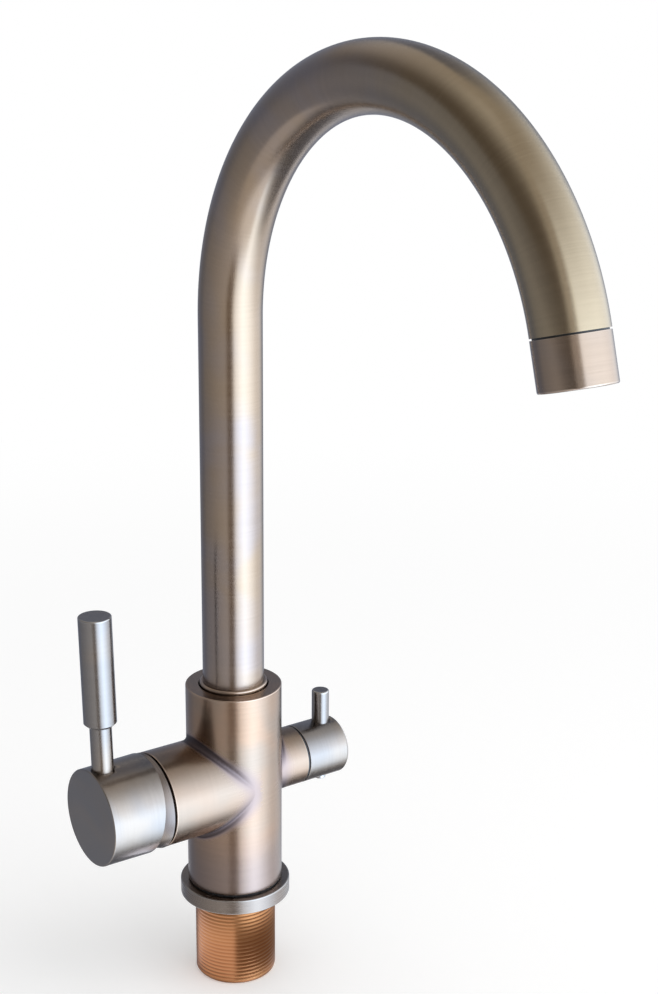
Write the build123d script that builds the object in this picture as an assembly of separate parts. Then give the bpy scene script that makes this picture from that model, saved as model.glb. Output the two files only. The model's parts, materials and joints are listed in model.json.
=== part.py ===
from build123d import *
import math
import os

# A three-way kitchen tap: a swan-neck swivel spout with a filtered waterway of its own, a mixing handle on
# the left and a filtered water knob on the right. Millimetres. The origin is on the worktop, at the centre of
# the base ring's underside. Z is up, the handles lie along X and the spout reaches out towards minus Y.

# Fits and clearances
thread_fit = 0.05
press_fit = 0.01
running_fit = 0.05
sliding_gap = 0.1
turning_gap = 0.3
cut_overrun = 1.0

# Base ring, gasket and the black ring in the dark line above the base ring
base_ring_height = 6.5
base_ring_edge_round = 0.5
base_ring_seat_depth = 2.3
reveal_height = 0.7
reveal_ring_recess = 0.5
gasket_thickness = 1.2
gasket_width = 3.5
gasket_shank_gap = 1.4
gasket_rim_width = 1.25

# Threaded shank
shank_diameter = 34.2
shank_length = 36.8
shank_bore_diameter = 29.0
shank_spigot_diameter = 33.0
shank_spigot_clearance = 1.0
thread_pitch = 1.7
thread_depth = 0.7
thread_crest_share = 0.25
thread_root_share = 0.15

# Barrel
barrel_diameter = 40.0
barrel_edge_round = 0.45
neck_diameter = 37.6
inlet_face_height = 20.0

# Mixer branch on the left and its cartridge seat
mixer_axis_height = 53.2
mixer_branch_diameter = 39.7
mixer_branch_mouth_depth = 3.0
mixer_branch_fillet = 2.0
mixer_branch_mouth_round = 0.4
cartridge_seat_reach = 16.0

# Filter branch on the right and its valve seat
filter_axis_height = 54.7
filter_branch_diameter = 25.0
filter_branch_reach = 30.0
filter_branch_fillet = 1.2
filter_branch_mouth_round = 0.3
valve_seat_reach = 11.0

# Waterways inside the barrel
inlet_thread_diameter = 9.0
inlet_depth = 12.0
inlet_pitch_radius = 8.5
inlet_count = 3
riser_diameter = 6.0
port_diameter = 5.2
supply_port_side = 5.5
supply_port_drop = 3.5
mixed_port_rise = 6.0
mixed_riser_reach = 9.0
filter_passage_diameter = 4.6
filter_passage_rise = 6.5

# Spout bearing in the barrel
spout_chamber_floor_thickness = 6.8
spout_socket_depth = 27.4
bush_length = 7.6
bush_wall = 0.5
bush_recess = 2.4
snap_ring_rise = 9.3
snap_ring_thickness = 1.4
snap_ring_width = 2.0
snap_ring_opening = 8.0
snap_groove_gap = 0.2

# Spout tube
spout_tube_diameter = 25.4
spout_tube_wall = 1.5
spout_arc_centre_height = 249.2
spout_arc_radius = 97.0
spout_arc_angle = 164.3

# Spout foot
foot_diameter = 28.2
foot_bottom_clearance = 2.0
foot_collar_rise = 1.6
foot_collar_round = 0.8
foot_bore_diameter = 21.0
tube_seat_rise = 11.5
o_ring_section = 1.86
o_ring_groove_width = 2.0
o_ring_groove_depth = 1.9
o_ring_rises = (3.4, 6.4)

# Filtered water tube inside the spout
filter_tube_diameter = 8.0
filter_tube_wall = 1.0
plug_diameter = 10.0
plug_bore_diameter = 4.4
plug_insertion = 4.0
plug_length = 11.5
plug_tube_seat = 4.5
plug_ring_section = 1.4
plug_ring_groove_width = 1.6
plug_ring_groove_depth = 1.4
plug_ring_rise = 1.8

# Nozzle at the end of the spout
nozzle_length = 17.1
nozzle_gap = 0.6
nozzle_edge_round = 0.6
nozzle_wall = 1.1
nozzle_lip_height = 0.5
nozzle_lip_width = 1.0
adapter_spigot_length = 6.0
adapter_spigot_ease = 0.4
adapter_neck_recess = 0.8
adapter_thread_length = 6.7
adapter_bore_diameter = 18.0
thread_land_wall = 1.5
washer_thickness = 1.0
washer_inner_diameter = 18.4
aerator_length = 7.7
aerator_hub_diameter = 10.4
aerator_socket_depth = 4.6
aerator_hole_diameter = 2.0
aerator_hole_count = 12
aerator_hole_circle_diameter = 16.2
mesh_thickness = 0.5
mesh_hole_diameter = 0.8
mesh_hole_rows = 3
mesh_hole_row_step = 1.7

# Mixing cartridge
cartridge_diameter = 28.0
cartridge_base_thickness = 5.0
cartridge_housing_length = 13.0
cartridge_wall = 1.5
cartridge_lip_thickness = 1.6
port_seal_width = 1.1
port_seal_thickness = 1.0
fixed_disc_diameter = 24.6
disc_thickness = 3.0
moving_disc_diameter = 19.2
carrier_thickness = 2.5
turret_flange_diameter = 24.4
turret_flange_thickness = 2.3
turret_neck_diameter = 18.2
turret_front_length = 3.5
turret_slot_up = 7.4
turret_slot_down = 5.8
pivot_offset = 2.0
pivot_pin_diameter = 3.0
pivot_pin_length = 17.0
handle_tilt_range = 20.0
stem_diameter = 7.2
stem_end_wall = 4.5
stem_tail_diameter = 4.0
tail_socket_gap = 0.3
tail_socket_floor = 0.3
mixing_port_length = 5.0

# Lock nut and domed ring
lock_nut_diameter = 33.0
lock_nut_length = 10.0
lock_nut_lip_thickness = 3.0
lock_nut_lip_bore = 21.0
lock_nut_key_width = 3.0
lock_nut_key_depth = 2.0
lock_nut_key_count = 6
branch_gap_width = 1.1
dome_overhang = 0.25
dome_centre_setback = 5.1
dome_length = 7.9
dome_bore_diameter = 27.0
dome_spigot_diameter = 32.6
dome_spigot_clearance = 0.4

# Handle cap of the mixer
cap_length = 22.6
cap_rear_diameter = 40.7
cap_taper = 0.35
cap_rear_setback = 4.8
cap_rear_slant = 7.4
cap_edge_round = 0.5
cap_front_thickness = 12.2
cap_skirt_wall = 0.8
cap_wall = 1.95
cap_skirt_depth = 7.0
cap_cone_length = 1.5
cap_skirt_overlap = 5.9

# Mixer lever and the grub screw under it
lever_setback = 6.64
lever_lean = 1.33
lever_rod_diameter = 8.9
lever_grip_diameter = 13.3
lever_grip_start = 39.2
lever_grip_chamfer = 1.3
lever_top = 85.3
lever_top_round = 0.5
lever_shoulder = 17.5
lever_spigot_diameter = 6.0
lever_spigot_end = 6.0
grub_screw_diameter = 5.0
grub_screw_length = 7.0
grub_socket_width = 2.5
grub_socket_depth = 3.0

# Filtered water valve
valve_thread_diameter = 18.1
valve_thread_length = 10.9
valve_recess = 0.1
valve_nose_diameter = 14.0
valve_front_diameter = 12.0
valve_front_length = 5.1
valve_cavity_diameter = 11.2
valve_seal_thickness = 1.2
valve_seal_inner_diameter = 8.0
valve_disc_diameter = 11.0
valve_disc_thickness = 2.0
valve_disc_gap = 0.1
valve_disc_hole_diameter = 3.0
valve_disc_hole_offset = 2.6
valve_window_diameter = 1.8
spindle_diameter = 7.0
spindle_flange_diameter = 10.8
spindle_flange_thickness = 2.0
spindle_end_wall = 3.75
spindle_ring_setback = 5.9
spindle_ring_section = 1.2
spindle_groove_depth = 1.2
spindle_groove_width = 1.4

# Filter knob, its trim ring, pin lever and screw
trim_ring_diameter = 24.4
trim_ring_thickness = 0.7
knob_gap = 0.2
knob_length = 20.25
knob_diameter = 25.0
knob_edge_round = 1.2
knob_mouth_round = 0.3
knob_cavity_diameter = 19.0
knob_cavity_depth = 6.0
pin_lever_setback = 6.65
pin_lever_diameter = 7.45
pin_lever_top = 26.7
pin_lever_top_round = 0.7
pin_lever_seat = 10.0
pin_lever_spigot_diameter = 4.0
pin_lever_spigot_end = 4.0
knob_screw_diameter = 5.0
knob_screw_proud = 2.0
knob_screw_socket_width = 2.5
knob_screw_socket_depth = 3.0
knob_screw_edge_round = 0.4

# Heights, reaches and radii that follow from the sizes above
barrel_radius = barrel_diameter / 2
barrel_bottom = base_ring_height + reveal_height
base_ring_seat_height = base_ring_height - base_ring_seat_depth
shank_radius = shank_diameter / 2
gasket_inner_radius = shank_radius + gasket_shank_gap
gasket_outer_radius = gasket_inner_radius + gasket_width
base_ring_radius = gasket_outer_radius + gasket_rim_width
shank_socket_radius = shank_spigot_diameter / 2 + thread_fit
shank_top = inlet_face_height - shank_spigot_clearance
mixed_port_height = mixer_axis_height + mixed_port_rise
filter_passage_height = filter_axis_height + filter_passage_rise
filter_socket_floor = filter_passage_height - filter_passage_diameter / 2
spout_chamber_floor = max(mixed_port_height, filter_passage_height) + spout_chamber_floor_thickness
barrel_top = spout_chamber_floor + spout_socket_depth
foot_radius = foot_diameter / 2
foot_bottom_height = spout_chamber_floor + foot_bottom_clearance
foot_top = barrel_top + foot_collar_rise
tube_seat_height = foot_bottom_height + tube_seat_rise
snap_ring_height = foot_bottom_height + snap_ring_rise
plug_bottom_height = spout_chamber_floor - plug_insertion
bush_bore_radius = foot_radius + running_fit
bush_seat_radius = bush_bore_radius + bush_wall + press_fit
bush_bottom = barrel_top - bush_recess - bush_length
spout_bore_radius = foot_radius + sliding_gap
tube_radius = spout_tube_diameter / 2
tube_bore_radius = tube_radius - spout_tube_wall
filter_tube_radius = filter_tube_diameter / 2
plug_radius = plug_diameter / 2
plug_socket_radius = plug_radius + running_fit
nozzle_radius = tube_radius
cartridge_radius = cartridge_diameter / 2
cartridge_bore_radius = cartridge_radius + sliding_gap
housing_start = cartridge_seat_reach + cartridge_base_thickness
housing_end = housing_start + cartridge_housing_length
housing_bore_radius = cartridge_radius - cartridge_wall
housing_mouth_radius = turret_neck_diameter / 2 + sliding_gap
nut_radius = lock_nut_diameter / 2
nut_bore_radius = nut_radius + thread_fit
nut_end = housing_end + lock_nut_lip_thickness
nut_start = nut_end - lock_nut_length
mixer_branch_reach = nut_end + mixer_branch_mouth_depth
pivot_reach = mixer_branch_reach + pivot_offset
dome_start = mixer_branch_reach + branch_gap_width
dome_centre_reach = dome_start - dome_centre_setback
dome_front_reach = dome_start + dome_length
dome_spigot_start = nut_end + dome_spigot_clearance
moving_disc_start = housing_start + disc_thickness
carrier_start = moving_disc_start + disc_thickness
carrier_end = carrier_start + carrier_thickness
turret_start = carrier_end + turning_gap
turret_front_reach = pivot_reach + turret_front_length
cap_rear_reach = dome_start + cap_rear_setback
cap_face_reach = cap_rear_reach + cap_length
cap_inner_face = cap_face_reach - cap_front_thickness
cap_rear_radius = cap_rear_diameter / 2
cap_face_radius = cap_rear_radius - cap_taper
cap_skirt_bore_radius = cap_rear_radius - cap_skirt_wall
cap_inner_bore_radius = cap_rear_radius - cap_wall
dome_radius = cap_rear_radius + dome_overhang
stem_radius = stem_diameter / 2
stem_end = cap_face_reach - stem_end_wall
stem_tail_radius = stem_tail_diameter / 2
stem_tail_reach = carrier_start + tail_socket_floor + tail_socket_gap + stem_tail_radius
disc_travel = (pivot_reach - stem_tail_reach) * math.sin(math.radians(handle_tilt_range))
lever_reach = cap_face_reach - lever_setback
lever_rod_radius = lever_rod_diameter / 2
valve_bore_radius = valve_thread_diameter / 2 + thread_fit
valve_thread_end = filter_branch_reach - valve_recess
valve_thread_start = valve_thread_end - valve_thread_length
valve_front_reach = valve_thread_end + valve_front_length
valve_nose_start = valve_seat_reach + valve_seal_thickness
valve_disc_start = valve_nose_start + valve_disc_gap
valve_moving_disc_start = valve_disc_start + valve_disc_thickness + valve_disc_gap
spindle_start = valve_moving_disc_start + valve_disc_thickness + valve_disc_gap
valve_cavity_end = spindle_start + spindle_flange_thickness + turning_gap
spindle_radius = spindle_diameter / 2
spindle_bore_radius = spindle_radius + running_fit
spindle_ring_reach = valve_thread_end - spindle_ring_setback
knob_radius = knob_diameter / 2
knob_start = filter_branch_reach + trim_ring_thickness + knob_gap
knob_face_reach = knob_start + knob_length
pin_lever_reach = knob_face_reach - pin_lever_setback
spindle_end_reach = knob_face_reach - spindle_end_wall


def post(radius, low, high, x=0, y=0):
    """Round bar parallel to Z between two heights."""
    bar = Cylinder(radius, high - low, align=(Align.CENTER, Align.CENTER, Align.MIN))
    return Pos(x, y, low) * bar


def tube(outer, inner, low, high):
    """Round ring on the Z axis."""
    return post(outer, low, high) - post(inner, low - cut_overrun, high + cut_overrun)


def crossbar(radius, start, end, height, y=0):
    """Round bar parallel to X between two places on X, at a height."""
    bar = Cylinder(radius, end - start, align=(Align.CENTER, Align.CENTER, Align.MIN))
    return Pos(start, y, height) * Rot(0, 90, 0) * bar


def right_bar(radius, start, end, y=0, z=0):
    """Round bar on the filter axis, between two reaches to the right of the barrel's axis."""
    return crossbar(radius, start, end, filter_axis_height + z, y)


def right_ring(outer, inner, start, end):
    """Round ring on the filter axis."""
    return right_bar(outer, start, end) - right_bar(inner, start - cut_overrun, end + cut_overrun)


def left_bar(radius, start, end, y=0, z=0):
    """Round bar on the mixer axis, between two reaches to the left of the barrel's axis."""
    return crossbar(radius, -end, -start, mixer_axis_height + z, y)


def left_ring(outer, inner, start, end):
    """Round ring on the mixer axis."""
    return left_bar(outer, start, end) - left_bar(inner, start - cut_overrun, end + cut_overrun)


def turned_left(points):
    """Solid turned about the mixer axis from an outline of (reach, radius) points."""
    outline = [(-reach, mixer_axis_height + radius) for reach, radius in points]
    face = Plane.XZ * make_face(Polyline(*outline, close=True))
    return revolve(face, Axis((0, 0, mixer_axis_height), (1, 0, 0)))


def o_ring(major, minor, height):
    """Round-section ring on the Z axis."""
    return Pos(0, 0, height) * Torus(major, minor)


def circles_at(part, radius, place, axis=Axis.Z):
    """Circular edges of one radius at one place along an axis."""
    found = part.edges().filter_by(GeomType.CIRCLE)
    index = {Axis.X: 0, Axis.Y: 1, Axis.Z: 2}[axis]
    return [
        edge for edge in found
        if math.isclose(edge.radius, radius, abs_tol=press_fit)
        and math.isclose(tuple(edge.arc_center)[index], place, abs_tol=press_fit)
    ]


def supply_angle(index):
    """Angle about Z of one inlet: the filtered inlet is on the right, hot and cold are on the left."""
    return 2 * math.pi * index / inlet_count


def inlet_place(index):
    """Centre of one inlet in plan."""
    angle = supply_angle(index)
    return inlet_pitch_radius * math.cos(angle), inlet_pitch_radius * math.sin(angle)


def spout_end_plane():
    """Plane at the open end of the arc, with its Z along the flow."""
    angle = math.radians(spout_arc_angle)
    origin = (
        0,
        -spout_arc_radius * (1 - math.cos(angle)),
        spout_arc_centre_height + spout_arc_radius * math.sin(angle),
    )
    return Plane(origin, x_dir=(1, 0, 0), z_dir=(0, -math.sin(angle), math.cos(angle)))


def at_nozzle(part):
    """Move a part built about Z from zero to the end of the spout."""
    return spout_end_plane().location * part


def swan_neck(outer, inner, low):
    """Tube on the spout's line: a straight run up and an arc over."""
    straight = tube(outer, inner, low, spout_arc_centre_height)
    section = Plane.XY.offset(spout_arc_centre_height) * (Circle(outer) - Circle(inner))
    hub = Axis((0, -spout_arc_radius, spout_arc_centre_height), (1, 0, 0))
    arc = revolve(section, hub, spout_arc_angle)
    return straight + arc


def base_ring():
    ring = post(base_ring_radius, 0, base_ring_height)
    ring = fillet(circles_at(ring, base_ring_radius, base_ring_height), base_ring_edge_round)
    ring = fillet(circles_at(ring, base_ring_radius, 0), base_ring_edge_round)
    ring -= post(neck_diameter / 2 + sliding_gap, base_ring_seat_height, base_ring_height + cut_overrun)
    ring -= post(shank_spigot_diameter / 2 + sliding_gap, -cut_overrun, base_ring_seat_height + cut_overrun)
    ring -= tube(gasket_outer_radius, gasket_inner_radius, -cut_overrun, gasket_thickness)
    return ring


def base_gasket():
    return tube(gasket_outer_radius, gasket_inner_radius, 0, gasket_thickness)


def body_seal_ring():
    outer = barrel_radius - reveal_ring_recess
    return tube(outer, neck_diameter / 2 + sliding_gap, base_ring_height, barrel_bottom)


def threaded_shank():
    """Hollow stud whose ridges are turned from one saw-tooth outline, with a plain run under the flange."""
    ridge_count = int(shank_length / thread_pitch)
    crest = thread_pitch * thread_crest_share
    root = thread_pitch * thread_root_share
    flank = (thread_pitch - crest - root) / 2
    root_radius = shank_radius - thread_depth
    outline = [(0, -shank_length), (root_radius, -shank_length)]
    for ridge in range(ridge_count):
        foot = -shank_length + ridge * thread_pitch
        outline.append((shank_radius, foot + flank))
        outline.append((shank_radius, foot + flank + crest))
        outline.append((root_radius, foot + flank + crest + flank))
        outline.append((root_radius, foot + thread_pitch))
    outline += [(shank_radius, ridge_count * thread_pitch - shank_length), (shank_radius, 0), (0, 0)]
    stud = revolve(Plane.XZ * make_face(Polyline(*outline, close=True)), Axis.Z)
    stud += post(shank_spigot_diameter / 2, 0, shank_top)
    stud -= post(shank_bore_diameter / 2, -shank_length - cut_overrun, shank_top + cut_overrun)
    return stud


def inlet_bores():
    """Threaded inlets in the barrel's floor, each with its riser above."""
    inlet_top = inlet_face_height + inlet_depth
    supply_height = mixer_axis_height - supply_port_drop
    riser_tops = [filter_axis_height, supply_height, supply_height]
    bores = Part()
    for index, riser_top in enumerate(riser_tops):
        x, y = inlet_place(index)
        bores += post(inlet_thread_diameter / 2, inlet_face_height - cut_overrun, inlet_top, x, y)
        bores += post(riser_diameter / 2, inlet_top - cut_overrun, riser_top, x, y)
    return bores


def mixer_ways():
    """Supply ports from the risers to the cartridge seat, and the mixed water's way up to the spout."""
    supply_x = inlet_place(1)[0]
    port = port_diameter / 2
    seat = cartridge_seat_reach + cut_overrun
    ways = Part()
    for side in (-supply_port_side, supply_port_side):
        ways += left_bar(port, -supply_x, seat, side, -supply_port_drop)
    ways += left_bar(port, mixed_riser_reach, seat, 0, mixed_port_rise)
    ways += post(riser_diameter / 2, mixed_port_height, spout_chamber_floor + cut_overrun, -mixed_riser_reach)
    return ways


def filter_ways():
    """Filtered inlet to its valve, and the passage from the valve to the tube's socket under the spout."""
    inlet_x = inlet_place(0)[0]
    seat = valve_seat_reach + cut_overrun
    ways = right_bar(riser_diameter / 2, inlet_x, seat)
    ways += crossbar(filter_passage_diameter / 2, 0, valve_nose_start, filter_passage_height)
    ways += post(plug_socket_radius, filter_socket_floor, spout_chamber_floor + cut_overrun)
    return ways


def body_casting():
    """Barrel and branches as one casting, blended where they meet, then bored from each mouth."""
    casting = post(barrel_radius, barrel_bottom, barrel_top)
    casting += left_bar(mixer_branch_diameter / 2, 0, mixer_branch_reach)
    seams = [edge for edge in casting.edges() if edge.geom_type not in (GeomType.CIRCLE, GeomType.LINE)]
    casting = fillet(seams, mixer_branch_fillet)
    casting += right_bar(filter_branch_diameter / 2, 0, filter_branch_reach)
    rim_reach = barrel_radius - filter_branch_diameter / 2
    seams = [
        edge for edge in casting.edges()
        if edge.geom_type not in (GeomType.CIRCLE, GeomType.LINE) and edge.center().X > rim_reach
    ]
    casting = fillet(seams, filter_branch_fillet)
    casting = fillet(circles_at(casting, barrel_radius, barrel_top), barrel_edge_round)
    casting = fillet(circles_at(casting, barrel_radius, barrel_bottom), barrel_edge_round)
    mouth = circles_at(casting, mixer_branch_diameter / 2, -mixer_branch_reach, Axis.X)
    casting = fillet(mouth, mixer_branch_mouth_round)
    mouth = circles_at(casting, filter_branch_diameter / 2, filter_branch_reach, Axis.X)
    casting = fillet(mouth, filter_branch_mouth_round)
    casting += post(neck_diameter / 2, base_ring_seat_height, barrel_bottom + cut_overrun)
    casting -= post(shank_socket_radius, base_ring_seat_height - cut_overrun, inlet_face_height)
    casting -= post(spout_bore_radius, spout_chamber_floor, barrel_top)
    casting -= post(bush_seat_radius, bush_bottom, barrel_top + cut_overrun)
    groove = snap_ring_thickness / 2 + snap_groove_gap
    groove_radius = foot_radius + snap_ring_width / 2 + snap_groove_gap
    casting -= post(groove_radius, snap_ring_height - groove, snap_ring_height + groove)
    casting -= left_bar(cartridge_bore_radius, cartridge_seat_reach, mixer_branch_reach)
    casting -= left_bar(nut_bore_radius, nut_start, mixer_branch_reach + cut_overrun)
    casting -= right_bar(valve_bore_radius, valve_seat_reach, filter_branch_reach + cut_overrun)
    casting -= inlet_bores()
    casting -= mixer_ways()
    casting -= filter_ways()
    return casting


def swivel_bush():
    return tube(bush_bore_radius + bush_wall, bush_bore_radius, bush_bottom, bush_bottom + bush_length)


def spout_snap_ring():
    """Open ring, half in the barrel's groove and half in the foot's."""
    half = snap_ring_thickness / 2
    outer = foot_radius + snap_ring_width / 2
    inner = foot_radius - snap_ring_width / 2
    ring = tube(outer, inner, snap_ring_height - half, snap_ring_height + half)
    opening = Box(snap_ring_opening, outer, snap_ring_thickness * 2)
    return ring - Pos(0, outer, snap_ring_height) * opening


def spout_foot():
    """Bush at the foot of the spout, with grooves for its seal rings and the snap ring."""
    foot = post(foot_radius, foot_bottom_height, foot_top)
    foot = fillet(circles_at(foot, foot_radius, foot_top), foot_collar_round)
    foot -= post(foot_bore_diameter / 2, foot_bottom_height - cut_overrun, foot_top)
    foot -= post(tube_radius + press_fit, tube_seat_height, foot_top + cut_overrun)
    groove_radius = foot_radius - o_ring_groove_depth
    for rise in o_ring_rises:
        low = foot_bottom_height + rise - o_ring_groove_width / 2
        foot -= tube(barrel_radius, groove_radius, low, low + o_ring_groove_width)
    half = snap_ring_thickness / 2 + snap_groove_gap
    snap_radius = foot_radius - snap_ring_width / 2 - snap_groove_gap
    foot -= tube(barrel_radius, snap_radius, snap_ring_height - half, snap_ring_height + half)
    return foot


def spout_o_rings():
    minor = o_ring_section / 2
    major = foot_radius - o_ring_groove_depth + press_fit + minor
    rings = [o_ring(major, minor, foot_bottom_height + rise) for rise in o_ring_rises]
    return Compound(children=rings)


def spout_tube():
    return swan_neck(tube_radius, tube_bore_radius, tube_seat_height)


def filter_tube():
    """Slim tube inside the spout, from its plug in the barrel to the middle of the nozzle."""
    bore = filter_tube_radius - filter_tube_wall
    run = swan_neck(filter_tube_radius, bore, plug_bottom_height + plug_tube_seat)
    return run + at_nozzle(tube(filter_tube_radius, bore, 0, aerator_start() + aerator_socket_depth))


def filter_tube_plug():
    top = plug_bottom_height + plug_length
    plug = post(plug_radius, plug_bottom_height, top)
    plug -= post(plug_bore_diameter / 2, plug_bottom_height - cut_overrun, top)
    socket_floor = plug_bottom_height + plug_tube_seat
    plug -= post(filter_tube_radius + press_fit, socket_floor, top + cut_overrun)
    low = plug_bottom_height + plug_ring_rise - plug_ring_groove_width / 2
    groove_radius = plug_radius - plug_ring_groove_depth
    return plug - tube(foot_radius, groove_radius, low, low + plug_ring_groove_width)


def plug_o_ring():
    minor = plug_ring_section / 2
    major = plug_radius - plug_ring_groove_depth + press_fit + minor
    return o_ring(major, minor, plug_bottom_height + plug_ring_rise)


def aerator_start():
    """Distance from the spout's end to the aerator."""
    return nozzle_gap + adapter_thread_length + washer_thickness


def adapter_thread_radius():
    return nozzle_radius - thread_land_wall


def nozzle_adapter():
    """Threaded piece in the spout's end; its neck is the dark line above the nozzle."""
    thread_end = nozzle_gap + adapter_thread_length
    piece = post(tube_bore_radius - adapter_spigot_ease, -adapter_spigot_length, 0)
    piece += post(nozzle_radius - adapter_neck_recess, 0, nozzle_gap)
    piece += post(adapter_thread_radius() - thread_fit, nozzle_gap, thread_end)
    piece -= post(adapter_bore_diameter / 2, -adapter_spigot_length - cut_overrun, thread_end + cut_overrun)
    return at_nozzle(piece)


def nozzle_shell():
    shell = post(nozzle_radius, nozzle_gap, nozzle_length)
    shell = fillet(circles_at(shell, nozzle_radius, nozzle_length), nozzle_edge_round)
    thread_end = nozzle_gap + adapter_thread_length
    shell -= post(adapter_thread_radius(), nozzle_gap - cut_overrun, thread_end)
    cavity_radius = nozzle_radius - nozzle_wall
    shell -= post(cavity_radius, thread_end, nozzle_length - nozzle_lip_height)
    shell -= post(cavity_radius - nozzle_lip_width, thread_end, nozzle_length + cut_overrun)
    return at_nozzle(shell)


def nozzle_washer():
    start = nozzle_gap + adapter_thread_length
    outer = nozzle_radius - nozzle_wall - sliding_gap
    return at_nozzle(tube(outer, washer_inner_diameter / 2, start, start + washer_thickness))


def aerator_insert():
    """Ring of small water ways round a hub that takes the filtered water tube."""
    start = aerator_start()
    end = start + aerator_length
    insert = post(nozzle_radius - nozzle_wall - sliding_gap, start, end)
    insert -= post(filter_tube_radius - filter_tube_wall, start - cut_overrun, end + cut_overrun)
    insert -= post(filter_tube_radius + press_fit, start - cut_overrun, start + aerator_socket_depth)
    circle_radius = aerator_hole_circle_diameter / 2
    for index in range(aerator_hole_count):
        angle = 2 * math.pi * index / aerator_hole_count
        x = circle_radius * math.cos(angle)
        y = circle_radius * math.sin(angle)
        insert -= post(aerator_hole_diameter / 2, start - cut_overrun, end + cut_overrun, x, y)
    return at_nozzle(insert)


def aerator_mesh():
    """Thin pierced ring under the aerator, one row of holes outside the other."""
    start = aerator_start() + aerator_length
    outer = nozzle_radius - nozzle_wall - sliding_gap
    mesh = tube(outer, aerator_hub_diameter / 2, start, start + mesh_thickness)
    holes = []
    for row in range(mesh_hole_rows):
        radius = aerator_hub_diameter / 2 + mesh_hole_row_step * (row + 0.5)
        count = int(2 * math.pi * radius / mesh_hole_row_step)
        for index in range(count):
            angle = 2 * math.pi * index / count
            x = radius * math.cos(angle)
            y = radius * math.sin(angle)
            holes.append(post(mesh_hole_diameter / 2, start - cut_overrun, start + aerator_length, x, y))
    return at_nozzle(mesh - holes)


def port_places():
    """Places on the cartridge's base of the two supply ports and the mixed port, as (y, z)."""
    return [
        (-supply_port_side, -supply_port_drop),
        (supply_port_side, -supply_port_drop),
        (0, mixed_port_rise),
    ]


def cartridge_base():
    base = left_bar(cartridge_radius, cartridge_seat_reach, housing_start)
    for y, z in port_places():
        base -= left_bar(
            port_diameter / 2, cartridge_seat_reach - cut_overrun, housing_start + cut_overrun, y, z
        )
        seal_radius = port_diameter / 2 + port_seal_width
        seal_end = cartridge_seat_reach + port_seal_thickness
        base -= left_bar(seal_radius, cartridge_seat_reach - cut_overrun, seal_end, y, z)
    return base


def cartridge_port_seals():
    seals = []
    seal_end = cartridge_seat_reach + port_seal_thickness
    for y, z in port_places():
        outer = left_bar(port_diameter / 2 + port_seal_width, cartridge_seat_reach, seal_end, y, z)
        bore = left_bar(port_diameter / 2, cartridge_seat_reach - cut_overrun, seal_end + cut_overrun, y, z)
        seals.append(outer - bore)
    return Compound(children=seals)


def cartridge_housing():
    housing = left_ring(cartridge_radius, housing_mouth_radius, housing_start, housing_end)
    lip_start = housing_end - cartridge_lip_thickness
    return housing - left_bar(housing_bore_radius, housing_start - cut_overrun, lip_start)


def fixed_disc():
    disc = left_bar(fixed_disc_diameter / 2, housing_start, moving_disc_start)
    for y, z in port_places():
        disc -= left_bar(
            port_diameter / 2, housing_start - cut_overrun, moving_disc_start + cut_overrun, y, z
        )
    return disc


def moving_disc():
    """Disc with a blind mixing hollow, half its travel below the axis while the handle is shut."""
    drop = -disc_travel / 2
    disc = left_bar(moving_disc_diameter / 2, moving_disc_start, carrier_start, 0, drop)
    hollow = Box(disc_thickness, supply_port_side * 2, mixing_port_length)
    return disc - Pos(-moving_disc_start, 0, mixer_axis_height + drop) * hollow


def disc_carrier():
    """Plate on the moving disc with the socket for the stem's ball end."""
    drop = -disc_travel / 2
    plate = left_bar(moving_disc_diameter / 2, carrier_start, carrier_end, 0, drop)
    socket_radius = stem_tail_radius + tail_socket_gap
    return plate - left_bar(socket_radius, carrier_start + tail_socket_floor, carrier_end + cut_overrun)


def cartridge_turret():
    """Turning part of the cartridge: a flange in the housing and a slotted neck for the stem."""
    flange_end = turret_start + turret_flange_thickness
    turret = left_bar(turret_flange_diameter / 2, turret_start, flange_end)
    turret += left_bar(turret_neck_diameter / 2, flange_end, turret_front_reach)
    slot_width = stem_diameter + 2 * turning_gap
    slot_height = turret_slot_up + turret_slot_down
    slot_length = turret_front_reach - turret_start + 2 * cut_overrun
    slot_middle = (turret_front_reach + turret_start) / 2
    slot = Box(slot_length, slot_width, slot_height)
    slot_centre = mixer_axis_height + (turret_slot_up - turret_slot_down) / 2
    turret -= Pos(-slot_middle, 0, slot_centre) * slot
    return turret - pivot_bar(pivot_pin_diameter / 2 + press_fit, turret_neck_diameter)


def pivot_bar(radius, length):
    """Round bar parallel to Y through the handle's tilting axis."""
    return Pos(-pivot_reach, 0, mixer_axis_height) * Rot(90, 0, 0) * Cylinder(radius, length)


def pivot_pin():
    return pivot_bar(pivot_pin_diameter / 2, pivot_pin_length)


def lever_stem():
    """Stem of the cartridge: a shaft out to the cap and a tail with a ball end back to the carrier."""
    stem = left_bar(stem_radius, pivot_reach - stem_radius, stem_end)
    stem += left_bar(stem_tail_radius, stem_tail_reach, pivot_reach)
    stem += Pos(-stem_tail_reach, 0, mixer_axis_height) * Sphere(stem_tail_radius)
    return stem - pivot_bar(pivot_pin_diameter / 2 + running_fit, turret_neck_diameter)


def cartridge_lock_nut():
    """Threaded ring over the housing's front, with key slots in its face."""
    nut = left_ring(nut_radius, lock_nut_lip_bore / 2, nut_start, nut_end)
    nut -= left_bar(cartridge_bore_radius, nut_start - cut_overrun, housing_end)
    key = Box(lock_nut_key_depth * 2, lock_nut_key_width, lock_nut_diameter + cut_overrun)
    for index in range(lock_nut_key_count // 2):
        turn = Rot(180 * index * 2 / lock_nut_key_count, 0, 0)
        nut -= Pos(-nut_end, 0, mixer_axis_height) * turn * key
    return nut


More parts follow.
